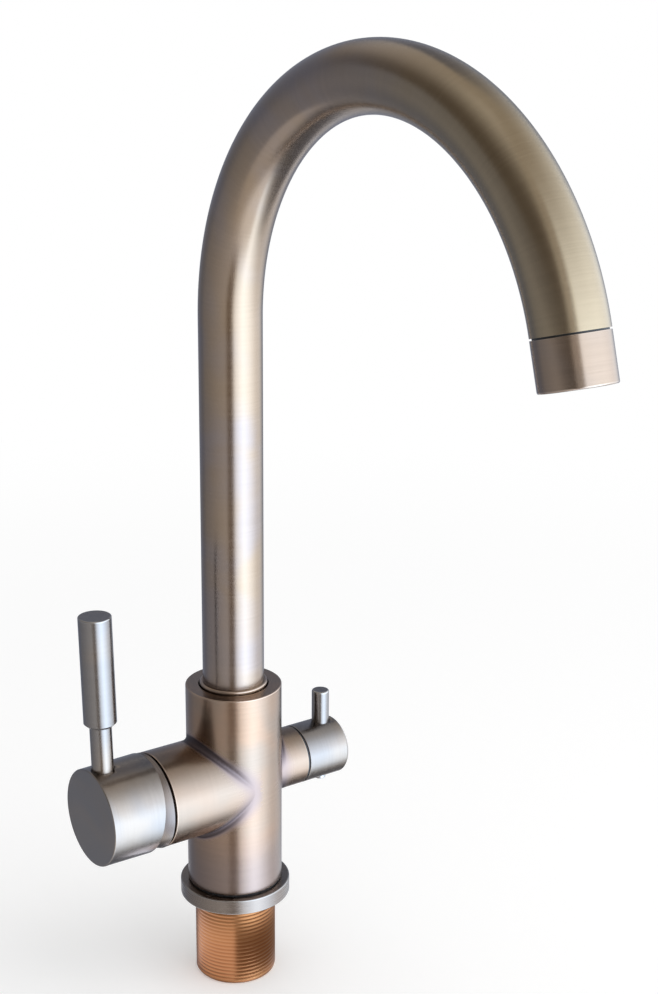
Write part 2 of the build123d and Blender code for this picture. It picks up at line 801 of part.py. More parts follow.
def dome_ring():
    """Domed cover: part of a ball that the handle cap's skirt passes over, with a spigot in the branch."""
    dome = Pos(-dome_centre_reach, 0, mixer_axis_height) * Sphere(dome_radius)
    dome &= left_bar(dome_radius, dome_start, dome_front_reach)
    dome += left_bar(dome_spigot_diameter / 2, dome_spigot_start, dome_start)
    bore_start = dome_spigot_start - cut_overrun
    return dome - left_bar(dome_bore_diameter / 2, bore_start, dome_front_reach + cut_overrun)


def leaning(part):
    """Stand a part built about Z from zero on the mixer axis, at the lever's place and lean."""
    return Pos(-lever_reach, 0, mixer_axis_height) * Rot(0, -lever_lean, 0) * part


def handle_cap():
    """Cup-shaped handle: a slightly conical shell with a thick front, cut off at a slant behind."""
    rear = cap_rear_reach - cap_skirt_overlap
    skirt_end = cap_rear_reach + cap_skirt_depth
    outline = [
        (cap_face_reach, 0),
        (cap_face_reach, cap_face_radius),
        (rear, cap_rear_radius),
        (rear, cap_skirt_bore_radius),
        (skirt_end, cap_skirt_bore_radius),
        (skirt_end + cap_cone_length, cap_inner_bore_radius),
        (cap_inner_face, cap_inner_bore_radius),
        (cap_inner_face, 0),
    ]
    cap = turned_left(outline)
    cap = fillet(circles_at(cap, cap_face_radius, -cap_face_reach, Axis.X), cap_edge_round)
    waste = Box(cap_rear_diameter, cap_rear_diameter * 2, cap_rear_diameter * 2)
    waste = Rot(0, cap_rear_slant, 0) * Pos(cap_rear_diameter / 2, 0, 0) * waste
    cap -= Pos(-cap_rear_reach, 0, mixer_axis_height) * waste
    cap -= left_bar(stem_radius + press_fit, cap_inner_face - cut_overrun, stem_end + sliding_gap)
    cap -= leaning(post(lever_rod_radius + press_fit, lever_shoulder, cap_rear_diameter))
    cap -= leaning(post(lever_spigot_diameter / 2 + press_fit, stem_radius, cap_rear_diameter))
    screw_hole = post(grub_screw_diameter / 2 + press_fit, -cap_rear_diameter, 0)
    return cap - Pos(-lever_reach, 0, mixer_axis_height) * screw_hole


def mixer_lever():
    """Turned lever: a threaded spigot, a slim rod and a thicker grip."""
    grip_radius = lever_grip_diameter / 2
    lever = post(grip_radius, lever_grip_start, lever_top)
    lever = fillet(circles_at(lever, grip_radius, lever_top), lever_top_round)
    lever = chamfer(circles_at(lever, grip_radius, lever_grip_start), lever_grip_chamfer)
    lever += post(lever_rod_radius, lever_shoulder, lever_grip_start)
    lever += post(lever_spigot_diameter / 2, lever_spigot_end, lever_shoulder)
    return leaning(lever)


def socket_screw(diameter, length, socket_width, socket_depth):
    """Headless screw that hangs down from Z zero, with a hexagon socket in its lower end."""
    screw = post(diameter / 2, -length, 0)
    hexagon = extrude(RegularPolygon(socket_width / 2, 6, major_radius=False), socket_depth)
    return screw - Pos(0, 0, -length) * hexagon


def handle_grub_screw():
    """Screw in the cap's underside that clamps the stem."""
    screw = socket_screw(grub_screw_diameter, grub_screw_length, grub_socket_width, grub_socket_depth)
    return Pos(-lever_reach, 0, mixer_axis_height - stem_radius) * screw


def filter_valve_housing():
    """Valve body: a nose with the ceramic discs, a threaded middle and a slim front for the spindle."""
    housing = right_bar(valve_nose_diameter / 2, valve_nose_start, valve_thread_start)
    housing += right_bar(valve_thread_diameter / 2, valve_thread_start, valve_thread_end)
    housing += right_bar(valve_front_diameter / 2, valve_thread_end, valve_front_reach)
    housing -= right_bar(valve_cavity_diameter / 2, valve_nose_start - cut_overrun, valve_cavity_end)
    housing -= right_bar(spindle_bore_radius, valve_nose_start, valve_front_reach + cut_overrun)
    window_reach = spindle_start + spindle_flange_thickness / 2
    window = post(valve_window_diameter / 2, -valve_nose_diameter, valve_nose_diameter)
    return housing - Pos(window_reach, 0, filter_axis_height) * window


def filter_valve_seal():
    inner_radius = valve_seal_inner_diameter / 2
    outer_radius = valve_nose_diameter / 2 - sliding_gap
    return right_ring(outer_radius, inner_radius, valve_seat_reach, valve_nose_start)


def valve_disc(start):
    """Ceramic disc with two water holes."""
    disc = right_bar(valve_disc_diameter / 2, start, start + valve_disc_thickness)
    for side in (-valve_disc_hole_offset, valve_disc_hole_offset):
        hole_end = start + valve_disc_thickness + cut_overrun
        disc -= right_bar(valve_disc_hole_diameter / 2, start - cut_overrun, hole_end, side)
    return disc


def filter_fixed_disc():
    return valve_disc(valve_disc_start)


def filter_moving_disc():
    return valve_disc(valve_moving_disc_start)


def filter_spindle():
    """Spindle with a flange on the moving disc and a groove for its seal ring."""
    flange_end = spindle_start + spindle_flange_thickness
    spindle = right_bar(spindle_flange_diameter / 2, spindle_start, flange_end)
    spindle += right_bar(spindle_radius, spindle_start, spindle_end_reach)
    groove_start = spindle_ring_reach - spindle_groove_width / 2
    groove_radius = spindle_radius - spindle_groove_depth
    return spindle - right_ring(knob_radius, groove_radius, groove_start, groove_start + spindle_groove_width)


def spindle_o_ring():
    minor = spindle_ring_section / 2
    major = spindle_radius - spindle_groove_depth + press_fit + minor
    return Pos(spindle_ring_reach, 0, filter_axis_height) * Rot(0, 90, 0) * Torus(major, minor)


def filter_trim_ring():
    end = filter_branch_reach + trim_ring_thickness
    inner_radius = valve_front_diameter / 2 + sliding_gap
    return right_ring(trim_ring_diameter / 2, inner_radius, filter_branch_reach, end)


def on_knob(part):
    """Stand a part built about Z from zero on the filter axis, at the pin lever's place."""
    return Pos(pin_lever_reach, 0, filter_axis_height) * part


def filter_knob():
    knob = right_bar(knob_radius, knob_start, knob_face_reach)
    knob = fillet(circles_at(knob, knob_radius, knob_face_reach, Axis.X), knob_edge_round)
    knob = fillet(circles_at(knob, knob_radius, knob_start, Axis.X), knob_mouth_round)
    knob -= right_bar(knob_cavity_diameter / 2, knob_start - cut_overrun, knob_start + knob_cavity_depth)
    knob -= right_bar(spindle_radius + press_fit, knob_start, spindle_end_reach + sliding_gap)
    knob -= on_knob(post(pin_lever_diameter / 2 + press_fit, pin_lever_seat, knob_diameter))
    knob -= on_knob(post(pin_lever_spigot_diameter / 2 + press_fit, spindle_radius, knob_diameter))
    return knob - on_knob(post(knob_screw_diameter / 2 + press_fit, -knob_diameter, 0))


def filter_pin_lever():
    pin = post(pin_lever_diameter / 2, pin_lever_seat, pin_lever_top)
    pin = fillet(circles_at(pin, pin_lever_diameter / 2, pin_lever_top), pin_lever_top_round)
    pin += post(pin_lever_spigot_diameter / 2, pin_lever_spigot_end, pin_lever_seat)
    return on_knob(pin)


def filter_knob_screw():
    """Screw that clamps the knob on the spindle, standing a little out of the knob's underside."""
    length = knob_radius + knob_screw_proud - spindle_radius
    screw = socket_screw(knob_screw_diameter, length, knob_screw_socket_width, knob_screw_socket_depth)
    screw = fillet(circles_at(screw, knob_screw_diameter / 2, -length), knob_screw_edge_round)
    return on_knob(Pos(0, 0, -spindle_radius) * screw)


pieces = (
    base_ring,
    base_gasket,
    body_seal_ring,
    threaded_shank,
    body_casting,
    swivel_bush,
    spout_snap_ring,
    spout_foot,
    spout_o_rings,
    spout_tube,
    filter_tube,
    filter_tube_plug,
    plug_o_ring,
    nozzle_adapter,
    nozzle_shell,
    nozzle_washer,
    aerator_insert,
    aerator_mesh,
    cartridge_base,
    cartridge_port_seals,
    cartridge_housing,
    fixed_disc,
    moving_disc,
    disc_carrier,
    cartridge_turret,
    pivot_pin,
    lever_stem,
    cartridge_lock_nut,
    dome_ring,
    handle_cap,
    mixer_lever,
    handle_grub_screw,
    filter_valve_housing,
    filter_valve_seal,
    filter_fixed_disc,
    filter_moving_disc,
    filter_spindle,
    spindle_o_ring,
    filter_trim_ring,
    filter_knob,
    filter_pin_lever,
    filter_knob_screw,
)

os.makedirs("parts", exist_ok=True)
for piece in pieces:
    export_step(piece(), f"parts/{piece.__name__}.step")
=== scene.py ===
import json
import math
import bmesh
import bpy
import numpy as np
from mathutils import Matrix, Vector


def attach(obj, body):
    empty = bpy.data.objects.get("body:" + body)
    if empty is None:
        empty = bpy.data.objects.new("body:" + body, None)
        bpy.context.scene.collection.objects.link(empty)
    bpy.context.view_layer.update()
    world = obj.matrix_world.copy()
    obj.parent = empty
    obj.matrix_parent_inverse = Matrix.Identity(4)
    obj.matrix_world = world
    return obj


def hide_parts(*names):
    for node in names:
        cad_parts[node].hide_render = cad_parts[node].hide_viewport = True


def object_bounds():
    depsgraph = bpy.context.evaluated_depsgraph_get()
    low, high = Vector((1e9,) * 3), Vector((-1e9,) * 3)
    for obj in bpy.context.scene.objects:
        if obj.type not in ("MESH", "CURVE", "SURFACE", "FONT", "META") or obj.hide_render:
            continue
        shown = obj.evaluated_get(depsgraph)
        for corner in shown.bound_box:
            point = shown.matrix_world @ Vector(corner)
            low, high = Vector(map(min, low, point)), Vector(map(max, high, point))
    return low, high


# A swan-neck kitchen tap with a mixing handle on the left and a filtered water knob on the right. The sizes
# below are millimetres and become metres when a mesh is made. Z is up, the handles lie along X and the spout
# reaches towards minus Y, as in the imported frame.
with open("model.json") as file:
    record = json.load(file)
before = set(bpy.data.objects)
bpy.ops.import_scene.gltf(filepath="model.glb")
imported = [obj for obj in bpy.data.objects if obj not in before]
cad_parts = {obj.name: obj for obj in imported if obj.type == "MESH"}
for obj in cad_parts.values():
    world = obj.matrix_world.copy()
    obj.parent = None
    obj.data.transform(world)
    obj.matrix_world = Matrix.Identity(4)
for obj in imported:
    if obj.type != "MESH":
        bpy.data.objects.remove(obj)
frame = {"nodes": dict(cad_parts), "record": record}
cad_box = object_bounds()


# Camera. It stands at the front left, a little above the top of the tap, and looks down at it by 17 degrees.
EYE = np.array((-371.417, -577.384, 383.991))
YAW, PITCH, ROLL = np.radians((53.983, 16.867, 0.442))
LENS = 64.477
NEAREST, FARTHEST = 20.0, 60000.0
METRES = 0.001

ahead = np.array((math.cos(PITCH) * math.cos(YAW), math.cos(PITCH) * math.sin(YAW), -math.sin(PITCH)))
level = np.array((math.sin(YAW), -math.cos(YAW), 0.0))
upright = np.cross(level, ahead)
to_right = math.cos(ROLL) * level + math.sin(ROLL) * upright
to_top = math.cos(ROLL) * upright - math.sin(ROLL) * level
camera = bpy.data.objects.new("camera", bpy.data.cameras.new("camera"))
camera.data.lens = LENS
camera.data.clip_start = NEAREST * METRES
camera.data.clip_end = FARTHEST * METRES
placing = Matrix(np.column_stack((to_right, to_top, -ahead)).tolist()).to_4x4()
placing.translation = Vector(EYE * METRES)
camera.matrix_world = placing
bpy.context.scene.collection.objects.link(camera)
bpy.context.scene.camera = camera
bpy.context.scene.view_settings.view_transform = "Standard"


# Floor and room. A plain white paper floor at the foot of the shank runs out into a white room. The room is
# white to the camera and in the metal, and lights the tap evenly and softly. The floor shows the tap's soft
# shadow, and the metal sees the studio cards instead of it.
ROOM_LIGHT = 0.72
FLOOR_RADIUS = 2600.0
FLOOR_FADE = (250.0, 900.0)
FLOOR_RINGS, FLOOR_SPOKES = 9, 97
WHITE = "ffffff"
FLOOR_WHITE = "f6f6f6"
FLOOR_LIFT = 0.19


def linear(hex_code):
    """sRGB hex code to linear colour: c/12.92 up to 0.04045, else ((c + 0.055)/1.055) to the power 2.4."""
    parts = np.array([int(hex_code[i:i + 2], 16) for i in (0, 2, 4)]) / 255
    parts = np.where(parts <= 0.04045, parts / 12.92, ((parts + 0.055) / 1.055) ** 2.4)
    return (*parts.tolist(), 1.0)


def add(tree, kind, inputs=(), **settings):
    """Adds a node with its settings, and fills or links its inputs by name or number."""
    node = tree.nodes.new(kind)
    for key, value in settings.items():
        setattr(node, key, value)
    for key, value in dict(inputs).items():
        if isinstance(value, bpy.types.NodeSocket):
            tree.links.new(value, node.inputs[key])
        else:
            node.inputs[key].default_value = value
    return node


def new_tree(name):
    """An empty material by that name, and its node tree."""
    material = bpy.data.materials.new(name)
    material.use_nodes = True
    material.node_tree.nodes.clear()
    return material, material.node_tree


def seen_directly(tree):
    """1 for rays from the camera, from a reflection or through glass, and 0 for light on other things."""
    path = add(tree, "ShaderNodeLightPath").outputs
    either = add(tree, "ShaderNodeMath", {0: path["Is Camera Ray"], 1: path["Is Glossy Ray"]},
                 operation="MAXIMUM").outputs[0]
    return add(tree, "ShaderNodeMath", {0: either, 1: path["Is Transmission Ray"]},
               operation="MAXIMUM").outputs[0]


def sheet_of_points(name, points):
    """A mesh object whose quads join the neighbours in a grid of points (rows, columns, 3) in millimetres."""
    rows, columns = points.shape[:2]
    index = np.arange(rows * columns).reshape(rows, columns)
    quads = np.stack((index[:-1, :-1], index[:-1, 1:], index[1:, 1:], index[1:, :-1]), axis=-1)
    mesh = bpy.data.meshes.new(name)
    mesh.from_pydata((points.reshape(-1, 3) * METRES).tolist(), [], quads.reshape(-1, 4).tolist())
    piece = bpy.data.objects.new(name, mesh)
    bpy.context.scene.collection.objects.link(piece)
    return piece


world = bpy.data.worlds.new("white_room")
bpy.context.scene.world = world
world.use_nodes = True
tree = world.node_tree
tree.nodes.clear()
room_level = add(tree, "ShaderNodeMapRange", {"Value": seen_directly(tree), "To Min": ROOM_LIGHT})
background = add(tree, "ShaderNodeBackground", {"Color": linear(WHITE), "Strength": room_level.outputs[0]})
add(tree, "ShaderNodeOutputWorld", {"Surface": background.outputs[0]})

floor_height = cad_box[0][2] / METRES
spokes = np.linspace(0, 2 * np.pi, FLOOR_SPOKES)
rings = np.linspace(0, FLOOR_RADIUS, FLOOR_RINGS)[:, None]
disc = np.stack((rings * np.cos(spokes), rings * np.sin(spokes),
                 np.full((FLOOR_RINGS, FLOOR_SPOKES), floor_height)), axis=-1)
floor = sheet_of_points("floor", disc)
paper, tree = new_tree("white_paper_floor")
place = add(tree, "ShaderNodeTexCoord").outputs["Object"]
flat = add(tree, "ShaderNodeVectorMath", {0: place, 1: (1, 1, 0)}, operation="MULTIPLY")
far = add(tree, "ShaderNodeVectorMath", {0: flat.outputs[0]}, operation="LENGTH")
fade = add(tree, "ShaderNodeMapRange", {"Value": far.outputs["Value"], "From Min": FLOOR_FADE[0] * METRES,
                                        "From Max": FLOOR_FADE[1] * METRES}, interpolation_type="SMOOTHSTEP")
matt = add(tree, "ShaderNodeBsdfDiffuse", {"Color": linear(FLOOR_WHITE)})
lift = add(tree, "ShaderNodeMath", {0: seen_directly(tree), 1: FLOOR_LIFT}, operation="MULTIPLY")
glow = add(tree, "ShaderNodeEmission", {"Color": linear(WHITE), "Strength": lift.outputs[0]})
near_floor = add(tree, "ShaderNodeAddShader", {0: matt.outputs[0], 1: glow.outputs[0]})
away = add(tree, "ShaderNodeEmission", {"Color": linear(WHITE), "Strength": seen_directly(tree)})
whole = add(tree, "ShaderNodeMixShader", {0: fade.outputs[0], 1: near_floor.outputs[0], 2: away.outputs[0]})
add(tree, "ShaderNodeOutputMaterial", {"Surface": whole.outputs[0]})
floor.data.materials.append(paper)
floor.visible_glossy = False
floor.visible_shadow = False


# Studio light. One broad soft lamp above gives the soft shadow. Round the tap stand plain cards and softboxes
# that only the metal sees: they give it the long bright and dark bands of a studio photograph. Two low cards
# on the floor do the same for the shank, which is lit on its left half and dark on its right one.
LAMP_POWER = 5.0
LAMP_SIZE = 900.0
LAMP_PLACE = (300.0, -700.0, 1300.0)
CARD_DISTANCE = 6000.0
CARD_CENTRE = np.array((0.0, -60.0, 150.0))
CARD_COLUMNS, CARD_ROWS = 49, 41
FENCE_COLUMNS, FENCE_ROWS = 61, 13
FENCE_TOP_FADE = 0.35
FENCE_SIDE_FADE = 4.0

lamp = bpy.data.objects.new("soft_lamp", bpy.data.lights.new("soft_lamp", "AREA"))
lamp.data.energy = LAMP_POWER
lamp.data.size = LAMP_SIZE * METRES
lamp.location = Vector(LAMP_PLACE) * METRES
lamp.rotation_euler = (-Vector(LAMP_PLACE)).to_track_quat("-Z", "Y").to_euler()
lamp.visible_glossy = False
bpy.context.scene.collection.objects.link(lamp)


def glowing_sheet(name, points, rim, strength, colour):
    """A sheet of points that glows where rim is 1, clears where it is 0, and is seen in reflections alone.
    Between them the glow follows 3 rim^2 - 2 rim^3."""
    sheet = sheet_of_points(name, points)
    rim = rim * rim * (3 - 2 * rim)
    sheet.data.attributes.new("rim", "FLOAT", "POINT").data.foreach_set("value", rim.ravel())
    material, tree = new_tree(name)
    glow = add(tree, "ShaderNodeEmission", {"Color": linear(colour), "Strength": strength})
    clear = add(tree, "ShaderNodeBsdfTransparent")
    inside = add(tree, "ShaderNodeAttribute", attribute_name="rim")
    both = add(tree, "ShaderNodeMixShader", {0: inside.outputs["Fac"], 1: clear.outputs[0],
                                             2: glow.outputs[0]})
    add(tree, "ShaderNodeOutputMaterial", {"Surface": both.outputs[0]})
    material.cycles.emission_sampling = "NONE"
    sheet.data.materials.append(material)
    for ray in ("camera", "diffuse", "transmission", "volume_scatter", "shadow"):
        setattr(sheet, "visible_" + ray, False)


def card(name, azimuths, heights, soft, strength, colour, step):
    """Part of a sphere between two azimuths and two heights in degrees that glows and fades at its four rims,
    within soft degrees of the left, right, lower and upper one. A larger step stands it nearer to the tap,
    and so in front of the cards before it.
    point = centre + (distance - step) × (cos h cos a, cos h sin a, sin h); rim = degrees inwards / soft."""
    across = np.linspace(*azimuths, CARD_COLUMNS)
    upward = np.linspace(*heights, CARD_ROWS)[:, None]
    a, h = np.radians(across), np.radians(upward)
    points = np.stack((np.cos(h) * np.cos(a), np.cos(h) * np.sin(a), np.sin(h) + 0 * a), axis=-1)
    side = np.minimum((across - azimuths[0]) / soft[0], (azimuths[1] - across) / soft[1])
    end = np.minimum((upward - heights[0]) / soft[2], (heights[1] - upward) / soft[3])
    rim = np.clip(side, 0, 1) * np.clip(end, 0, 1)
    glowing_sheet(name, CARD_CENTRE + (CARD_DISTANCE - step) * points, rim, strength, colour)


card("dark_wall_behind", (38, 229), (-2, 89), (38, 9, 5, 54), 0.22, "fff2e4", 0)
card("pale_ceiling", (-159, 150), (15, 89), (38, 69, 30, 5), 0.76, "fffaf2", 20)
card("grey_wall_behind", (82, 252), (-46, 28), (7, 140, 5, 11), 0.52, "ecf2ff", 40)
card("wide_white_wall", (-115, 93), (-70, 75), (6, 138, 87, 76), 4.2, "e0eeff", 60)
card("softbox", (-123, -13), (-89, 21), (52, 75, 12, 25), 6.4, "d4e9ff", 80)
card("dark_flag_right", (-6, 68), (8, 74), (61, 12, 26, 14), 0.34, "e0e8ff", 100)
card("blue_grey_wall_right", (-6, 134), (-38, 42), (44, 24, 16, 24), 0.48, "ccd6ee", 120)
card("dark_strip_left", (-144, -117), (-46, 14), (14, 2, 16, 12), 0.34, "ffe6cc", 140)
card("low_white_card", (-172, -60), (-89, -30), (50, 24, 5, 24), 2.3, "ecf4ff", 160)
card("dark_floor_behind", (-70, 125), (-89, -34), (85, 25, 5, 14), 0.26, "e4e8f4", 180)


def fence(name, azimuths, radius, height, strength, colour):
    """A low card that stands on the floor round the shank, between two azimuths. It fades over its upper
    third and a few degrees of its sides. point = (radius cos a, radius sin a, floor + share × height)."""
    across = np.linspace(*azimuths, FENCE_COLUMNS)
    share = np.linspace(0.0, 1.0, FENCE_ROWS)[:, None]
    a = np.radians(across)
    points = np.stack((radius * np.cos(a) + 0 * share, radius * np.sin(a) + 0 * share,
                       floor_height + height * share + 0 * a), axis=-1)
    side = np.clip(np.minimum(across - azimuths[0], azimuths[1] - across) / FENCE_SIDE_FADE, 0, 1)
    glowing_sheet(name, points, side * np.clip((1 - share) / FENCE_TOP_FADE, 0, 1), strength, colour)


fence("black_card_on_floor", (-124, 58), 25.5, 32.0, 0.5, "fff4ea")
fence("white_card_on_floor", (140, 238), 25.0, 32.0, 2.2, "f0f2ff")


# Body. One hollow brass casting: a barrel, a wide branch to the left for the mixing cartridge and a slim one
# to the right for the filter valve. The branches flow into the barrel in a narrow blend. The seats for the
# other pieces are turned in its ends, and the whole is brushed along both turned forms and plated.
BARREL_RADIUS = 20.0
BARREL_BOTTOM, BARREL_TOP = 7.2, 95.4
BARREL_ROUND = 0.45
BUSH_SEAT_RADIUS, BUSH_SEAT_FLOOR = 14.66, 85.4
SOCKET_RADIUS, SOCKET_FLOOR = 14.2, 68.0
SNAP_GROOVE_RADIUS, SNAP_GROOVE_LOW, SNAP_GROOVE_HIGH = 15.3, 78.4, 80.2
NECK_RADIUS, NECK_BOTTOM = 18.8, 4.2
SHANK_SEAT_RADIUS, SHANK_SEAT_TOP = 16.55, 20.0
MIXER_AXIS, MIXER_RADIUS, MIXER_BLEND = 53.2, 19.85, 2.0
MIXER_MOUTH, MIXER_END, MIXER_ROUND = 38.0, 40.0, 0.4
NUT_SEAT_RADIUS, NUT_SEAT_FLOOR = 16.55, 27.0
CARTRIDGE_RADIUS, CARTRIDGE_FLOOR = 14.1, 16.0
FILTER_AXIS, FILTER_RADIUS, FILTER_BLEND = 54.7, 12.5, 1.2
FILTER_MOUTH, FILTER_END, FILTER_ROUND = 28.8, 30.0, 0.3
VALVE_RADIUS, VALVE_FLOOR = 9.1, 11.0
X_AXIS, Y_AXIS, Z_AXIS = np.eye(3)

# The grid of the branches and the barrel between them: the heights that it spans, its rows and columns, and
# the power that crowds its rows towards the blend. Points closer than the merge gap become one, and edges
# shorter than the sliver are taken out.
PATCH_LOW, PATCH_HIGH = 24.0, 82.0
ROUND_BRANCH, ROUND_BARREL = 256, 128
BRANCH_ROWS, BLEND_ROWS, HALF_ROWS = 16, 12, 20
HALF_CROWDING = 1.8
MERGE_GAP = 0.001
SLIVER = 0.00001

# The brush: real lines are about 0.05 mm apart and a few centimetres long. At 0.5 mm they are drawn ten times
# too coarse, because finer ones don't show in the render, and faint in tone, so that they stay a sheen.
SCRATCH_LENGTH = 26.0
SCRATCH_SPACING = 0.5
SCRATCH_DETAIL = 2.5
SCRATCH_RANGE = {"From Min": 0.3, "From Max": 0.7}
SCRATCH_TONE = 0.035
SCRATCH_ROUGHNESS = 0.02
SCRATCH_DEPTH = 0.01
SCRATCH_RELIEF = 0.1
BRUSH_STRETCH = 0.3

# Antique plating is toned by hand, so its colour wanders over a few centimetres. It is rubbed pale on rounded
# edges. Round each branch the crease is painted: a darker violet-grey tint on its sides, partly painted
# shade, and a dark painted shade on the blend itself, which is also drawn duller. The brushing turns from
# round the barrel to round a branch between two reaches along the branch and two distances from its axis.
CLOUD_SIZE = 38.0
CLOUD_SHIFT = np.array((13.0, 0.0, 21.0))
CLOUD_DETAIL, CLOUD_TWIST = 2.0, 0.6
CLOUD_RANGE = {"From Min": 0.36, "From Max": 0.64}
RUBBED_SHARE = 0.6
# The valley round each branch: its reach, the share left on the flanks, its darker violet-grey tint (partly
# painted shade), its roughness, and the dark painted shade of the crease with its share.
VALLEY_REACH = (1.1, 4.6)
VALLEY_FLANK = 0.5
VALLEY_TONE = "7f7275"
VALLEY_ROUGHNESS = 0.25
PAINTED_CREASE_SHADE = "3a3130"
CREASE_SHARE = 0.85
MIXER_TURN = (12.0, 26.0, 17.0, 25.0)
FILTER_TURN = (16.0, 21.5, 10.0, 15.0)


def straight(origin, along, across):
    """A path that is a straight line: origin + distance × along. Its sections stand on across and aside."""
    along, across = np.asarray(along, float), np.asarray(across, float)
    def path(distance):
        ones = np.ones((len(distance), 1))
        return origin + distance[:, None] * along, ones * along, ones * across, ones * np.cross(along, across)
    return path


def rounded(corners, facets=6, hold=0.15):
    """An outline (distance, radius, wear) through corners (distance, radius, round). A round is the arc that
    touches both of its runs: it touches them at round / tan(half the corner's angle) from the corner. A point
    held just beyond each of its ends keeps the runs true. Wear is 1 on arcs."""
    corners = [(*corner, 0.0)[:3] for corner in corners]
    outline = [(*corners[0][:2], 0.0)]
    for before, corner, after in zip(corners, corners[1:], corners[2:]):
        here, size = np.array(corner[:2]), corner[2]
        if not size:
            outline.append((*here, 0.0))
            continue
        back, on = np.array(before[:2]) - here, np.array(after[:2]) - here
        back, on = back / np.hypot(*back), on / np.hypot(*on)
        half = math.acos(np.clip(back @ on, -1, 1)) / 2
        touch = size / math.tan(half)
        middle = here + (back + on) / np.hypot(*(back + on)) * size / math.sin(half)
        first, last = (here + back * touch - middle) / size, (here + on * touch - middle) / size
        swing = math.pi - 2 * half
        share = np.linspace(0, 1, facets + 1)[:, None]
        spread = np.sin((1 - share) * swing) * first + np.sin(share * swing) * last
        outline.append((*(here + back * (touch + hold)), 0.0))
        outline += [(*point, 1.0) for point in middle + size * spread / math.sin(swing)]
        outline.append((*(here + on * (touch + hold)), 0.0))
    outline.append((*corners[-1][:2], 0.0))
    return np.array(outline)


def carried(outline, path, columns=128):
    """The surface of an outline carried round a path:
    point = place(distance) + radius × (cos t across + sin t aside).
    It keeps for the brushing its lay, which is (distance, radius cos t, radius sin t), its run along the path
    and its wear."""
    origin, along, across, aside = (part[:, None, :] for part in path(outline[:, 0]))
    t = np.linspace(0, 2 * np.pi, columns + 1)[None, :, None]
    distance, radius = outline[:, 0][:, None, None], outline[:, 1][:, None, None]
    shape = (len(outline), columns + 1, 3)
    points = origin + radius * (np.cos(t) * across + np.sin(t) * aside)
    lay = np.concatenate((distance + 0 * t, radius * np.cos(t), radius * np.sin(t)), axis=-1)
    wear = np.broadcast_to(outline[:, 2][:, None], shape[:2])
    return {"points": points, "lay": lay, "run": np.broadcast_to(along, shape), "wear": wear}


def surface(name, patches, sharp=38):
    """One closed mesh from patches, each a grid of points and of its other values. Equal points are merged,
    faces are turned outwards, and edges bent more than sharp degrees stay crisp."""
    mesh = bpy.data.meshes.new(name)
    counts = [patch["points"].shape[0] * patch["points"].shape[1] for patch in patches]
    quads = []
    for patch, count, first in zip(patches, counts, np.cumsum([0] + counts)):
        index = first + np.arange(count).reshape(patch["points"].shape[:2])
        corners = np.stack((index[:-1, :-1], index[:-1, 1:], index[1:, 1:], index[1:, :-1]), axis=-1)
        quads.append(corners.reshape(-1, 4))
    points = np.concatenate([patch["points"].reshape(-1, 3) for patch in patches]) * METRES
    mesh.from_pydata(points.tolist(), [], np.concatenate(quads).tolist())
    for key in patches[0]:
        if key == "points":
            continue
        values = np.concatenate([np.asarray(patch[key], float).reshape(-1) for patch in patches])
        wide = patches[0][key].ndim == 3
        attribute = mesh.attributes.new(key, "FLOAT_VECTOR" if wide else "FLOAT", "POINT")
        attribute.data.foreach_set("vector" if wide else "value", values)
    work = bmesh.new()
    work.from_mesh(mesh)
    bmesh.ops.remove_doubles(work, verts=work.verts, dist=MERGE_GAP * METRES)
    bmesh.ops.dissolve_degenerate(work, edges=work.edges, dist=SLIVER * METRES)
    bmesh.ops.recalc_face_normals(work, faces=work.faces)
    work.to_mesh(mesh)
    work.free()
    return smoothed(name, mesh, sharp)


def smoothed(name, mesh, sharp):
    """Shades a mesh smooth between its sharp edges and links an object of it."""
    mesh.shade_smooth()
    mesh.set_sharp_from_angle(angle=math.radians(sharp))
    piece = bpy.data.objects.new(name, mesh)
    bpy.context.scene.collection.objects.link(piece)
    return piece


def smooth_step(value, low, high):
    """0 up to low, 1 from high on, and 3 s^2 - 2 s^3 between."""
    share = np.clip((value - low) / (high - low), 0, 1)
    return share * share * (3 - 2 * share)


def cast_patch(points, valley=None):
    """The body's values at its points: the barrel's lay and the branches', the share of the barrel's, the
    run blended by it, and the valley. The share is 1 less a smooth step out along the branch, or a smooth
    step away from the branch's axis where that is larger: 1 on the barrel, 0 on a branch."""
    x, y, z = points[..., 0], points[..., 1], points[..., 2]
    mixer = np.maximum(1 - smooth_step(-x, *MIXER_TURN[:2]),
                       smooth_step(np.hypot(y, z - MIXER_AXIS), *MIXER_TURN[2:]))
    filtering = np.maximum(1 - smooth_step(x, *FILTER_TURN[:2]),
                           smooth_step(np.hypot(y, z - FILTER_AXIS), *FILTER_TURN[2:]))
    turn = np.where(x < 0, mixer, filtering)
    run = turn[..., None] * Z_AXIS + (1 - turn)[..., None] * X_AXIS
    run = run / np.linalg.norm(run, axis=-1, keepdims=True)
    return {"points": points, "lay": np.stack((z, x, y), axis=-1), "run": run,
            "wear": np.zeros(points.shape[:2]), "branch_lay": points, "turn": turn,
            "valley": np.zeros(points.shape[:2]) if valley is None else valley}


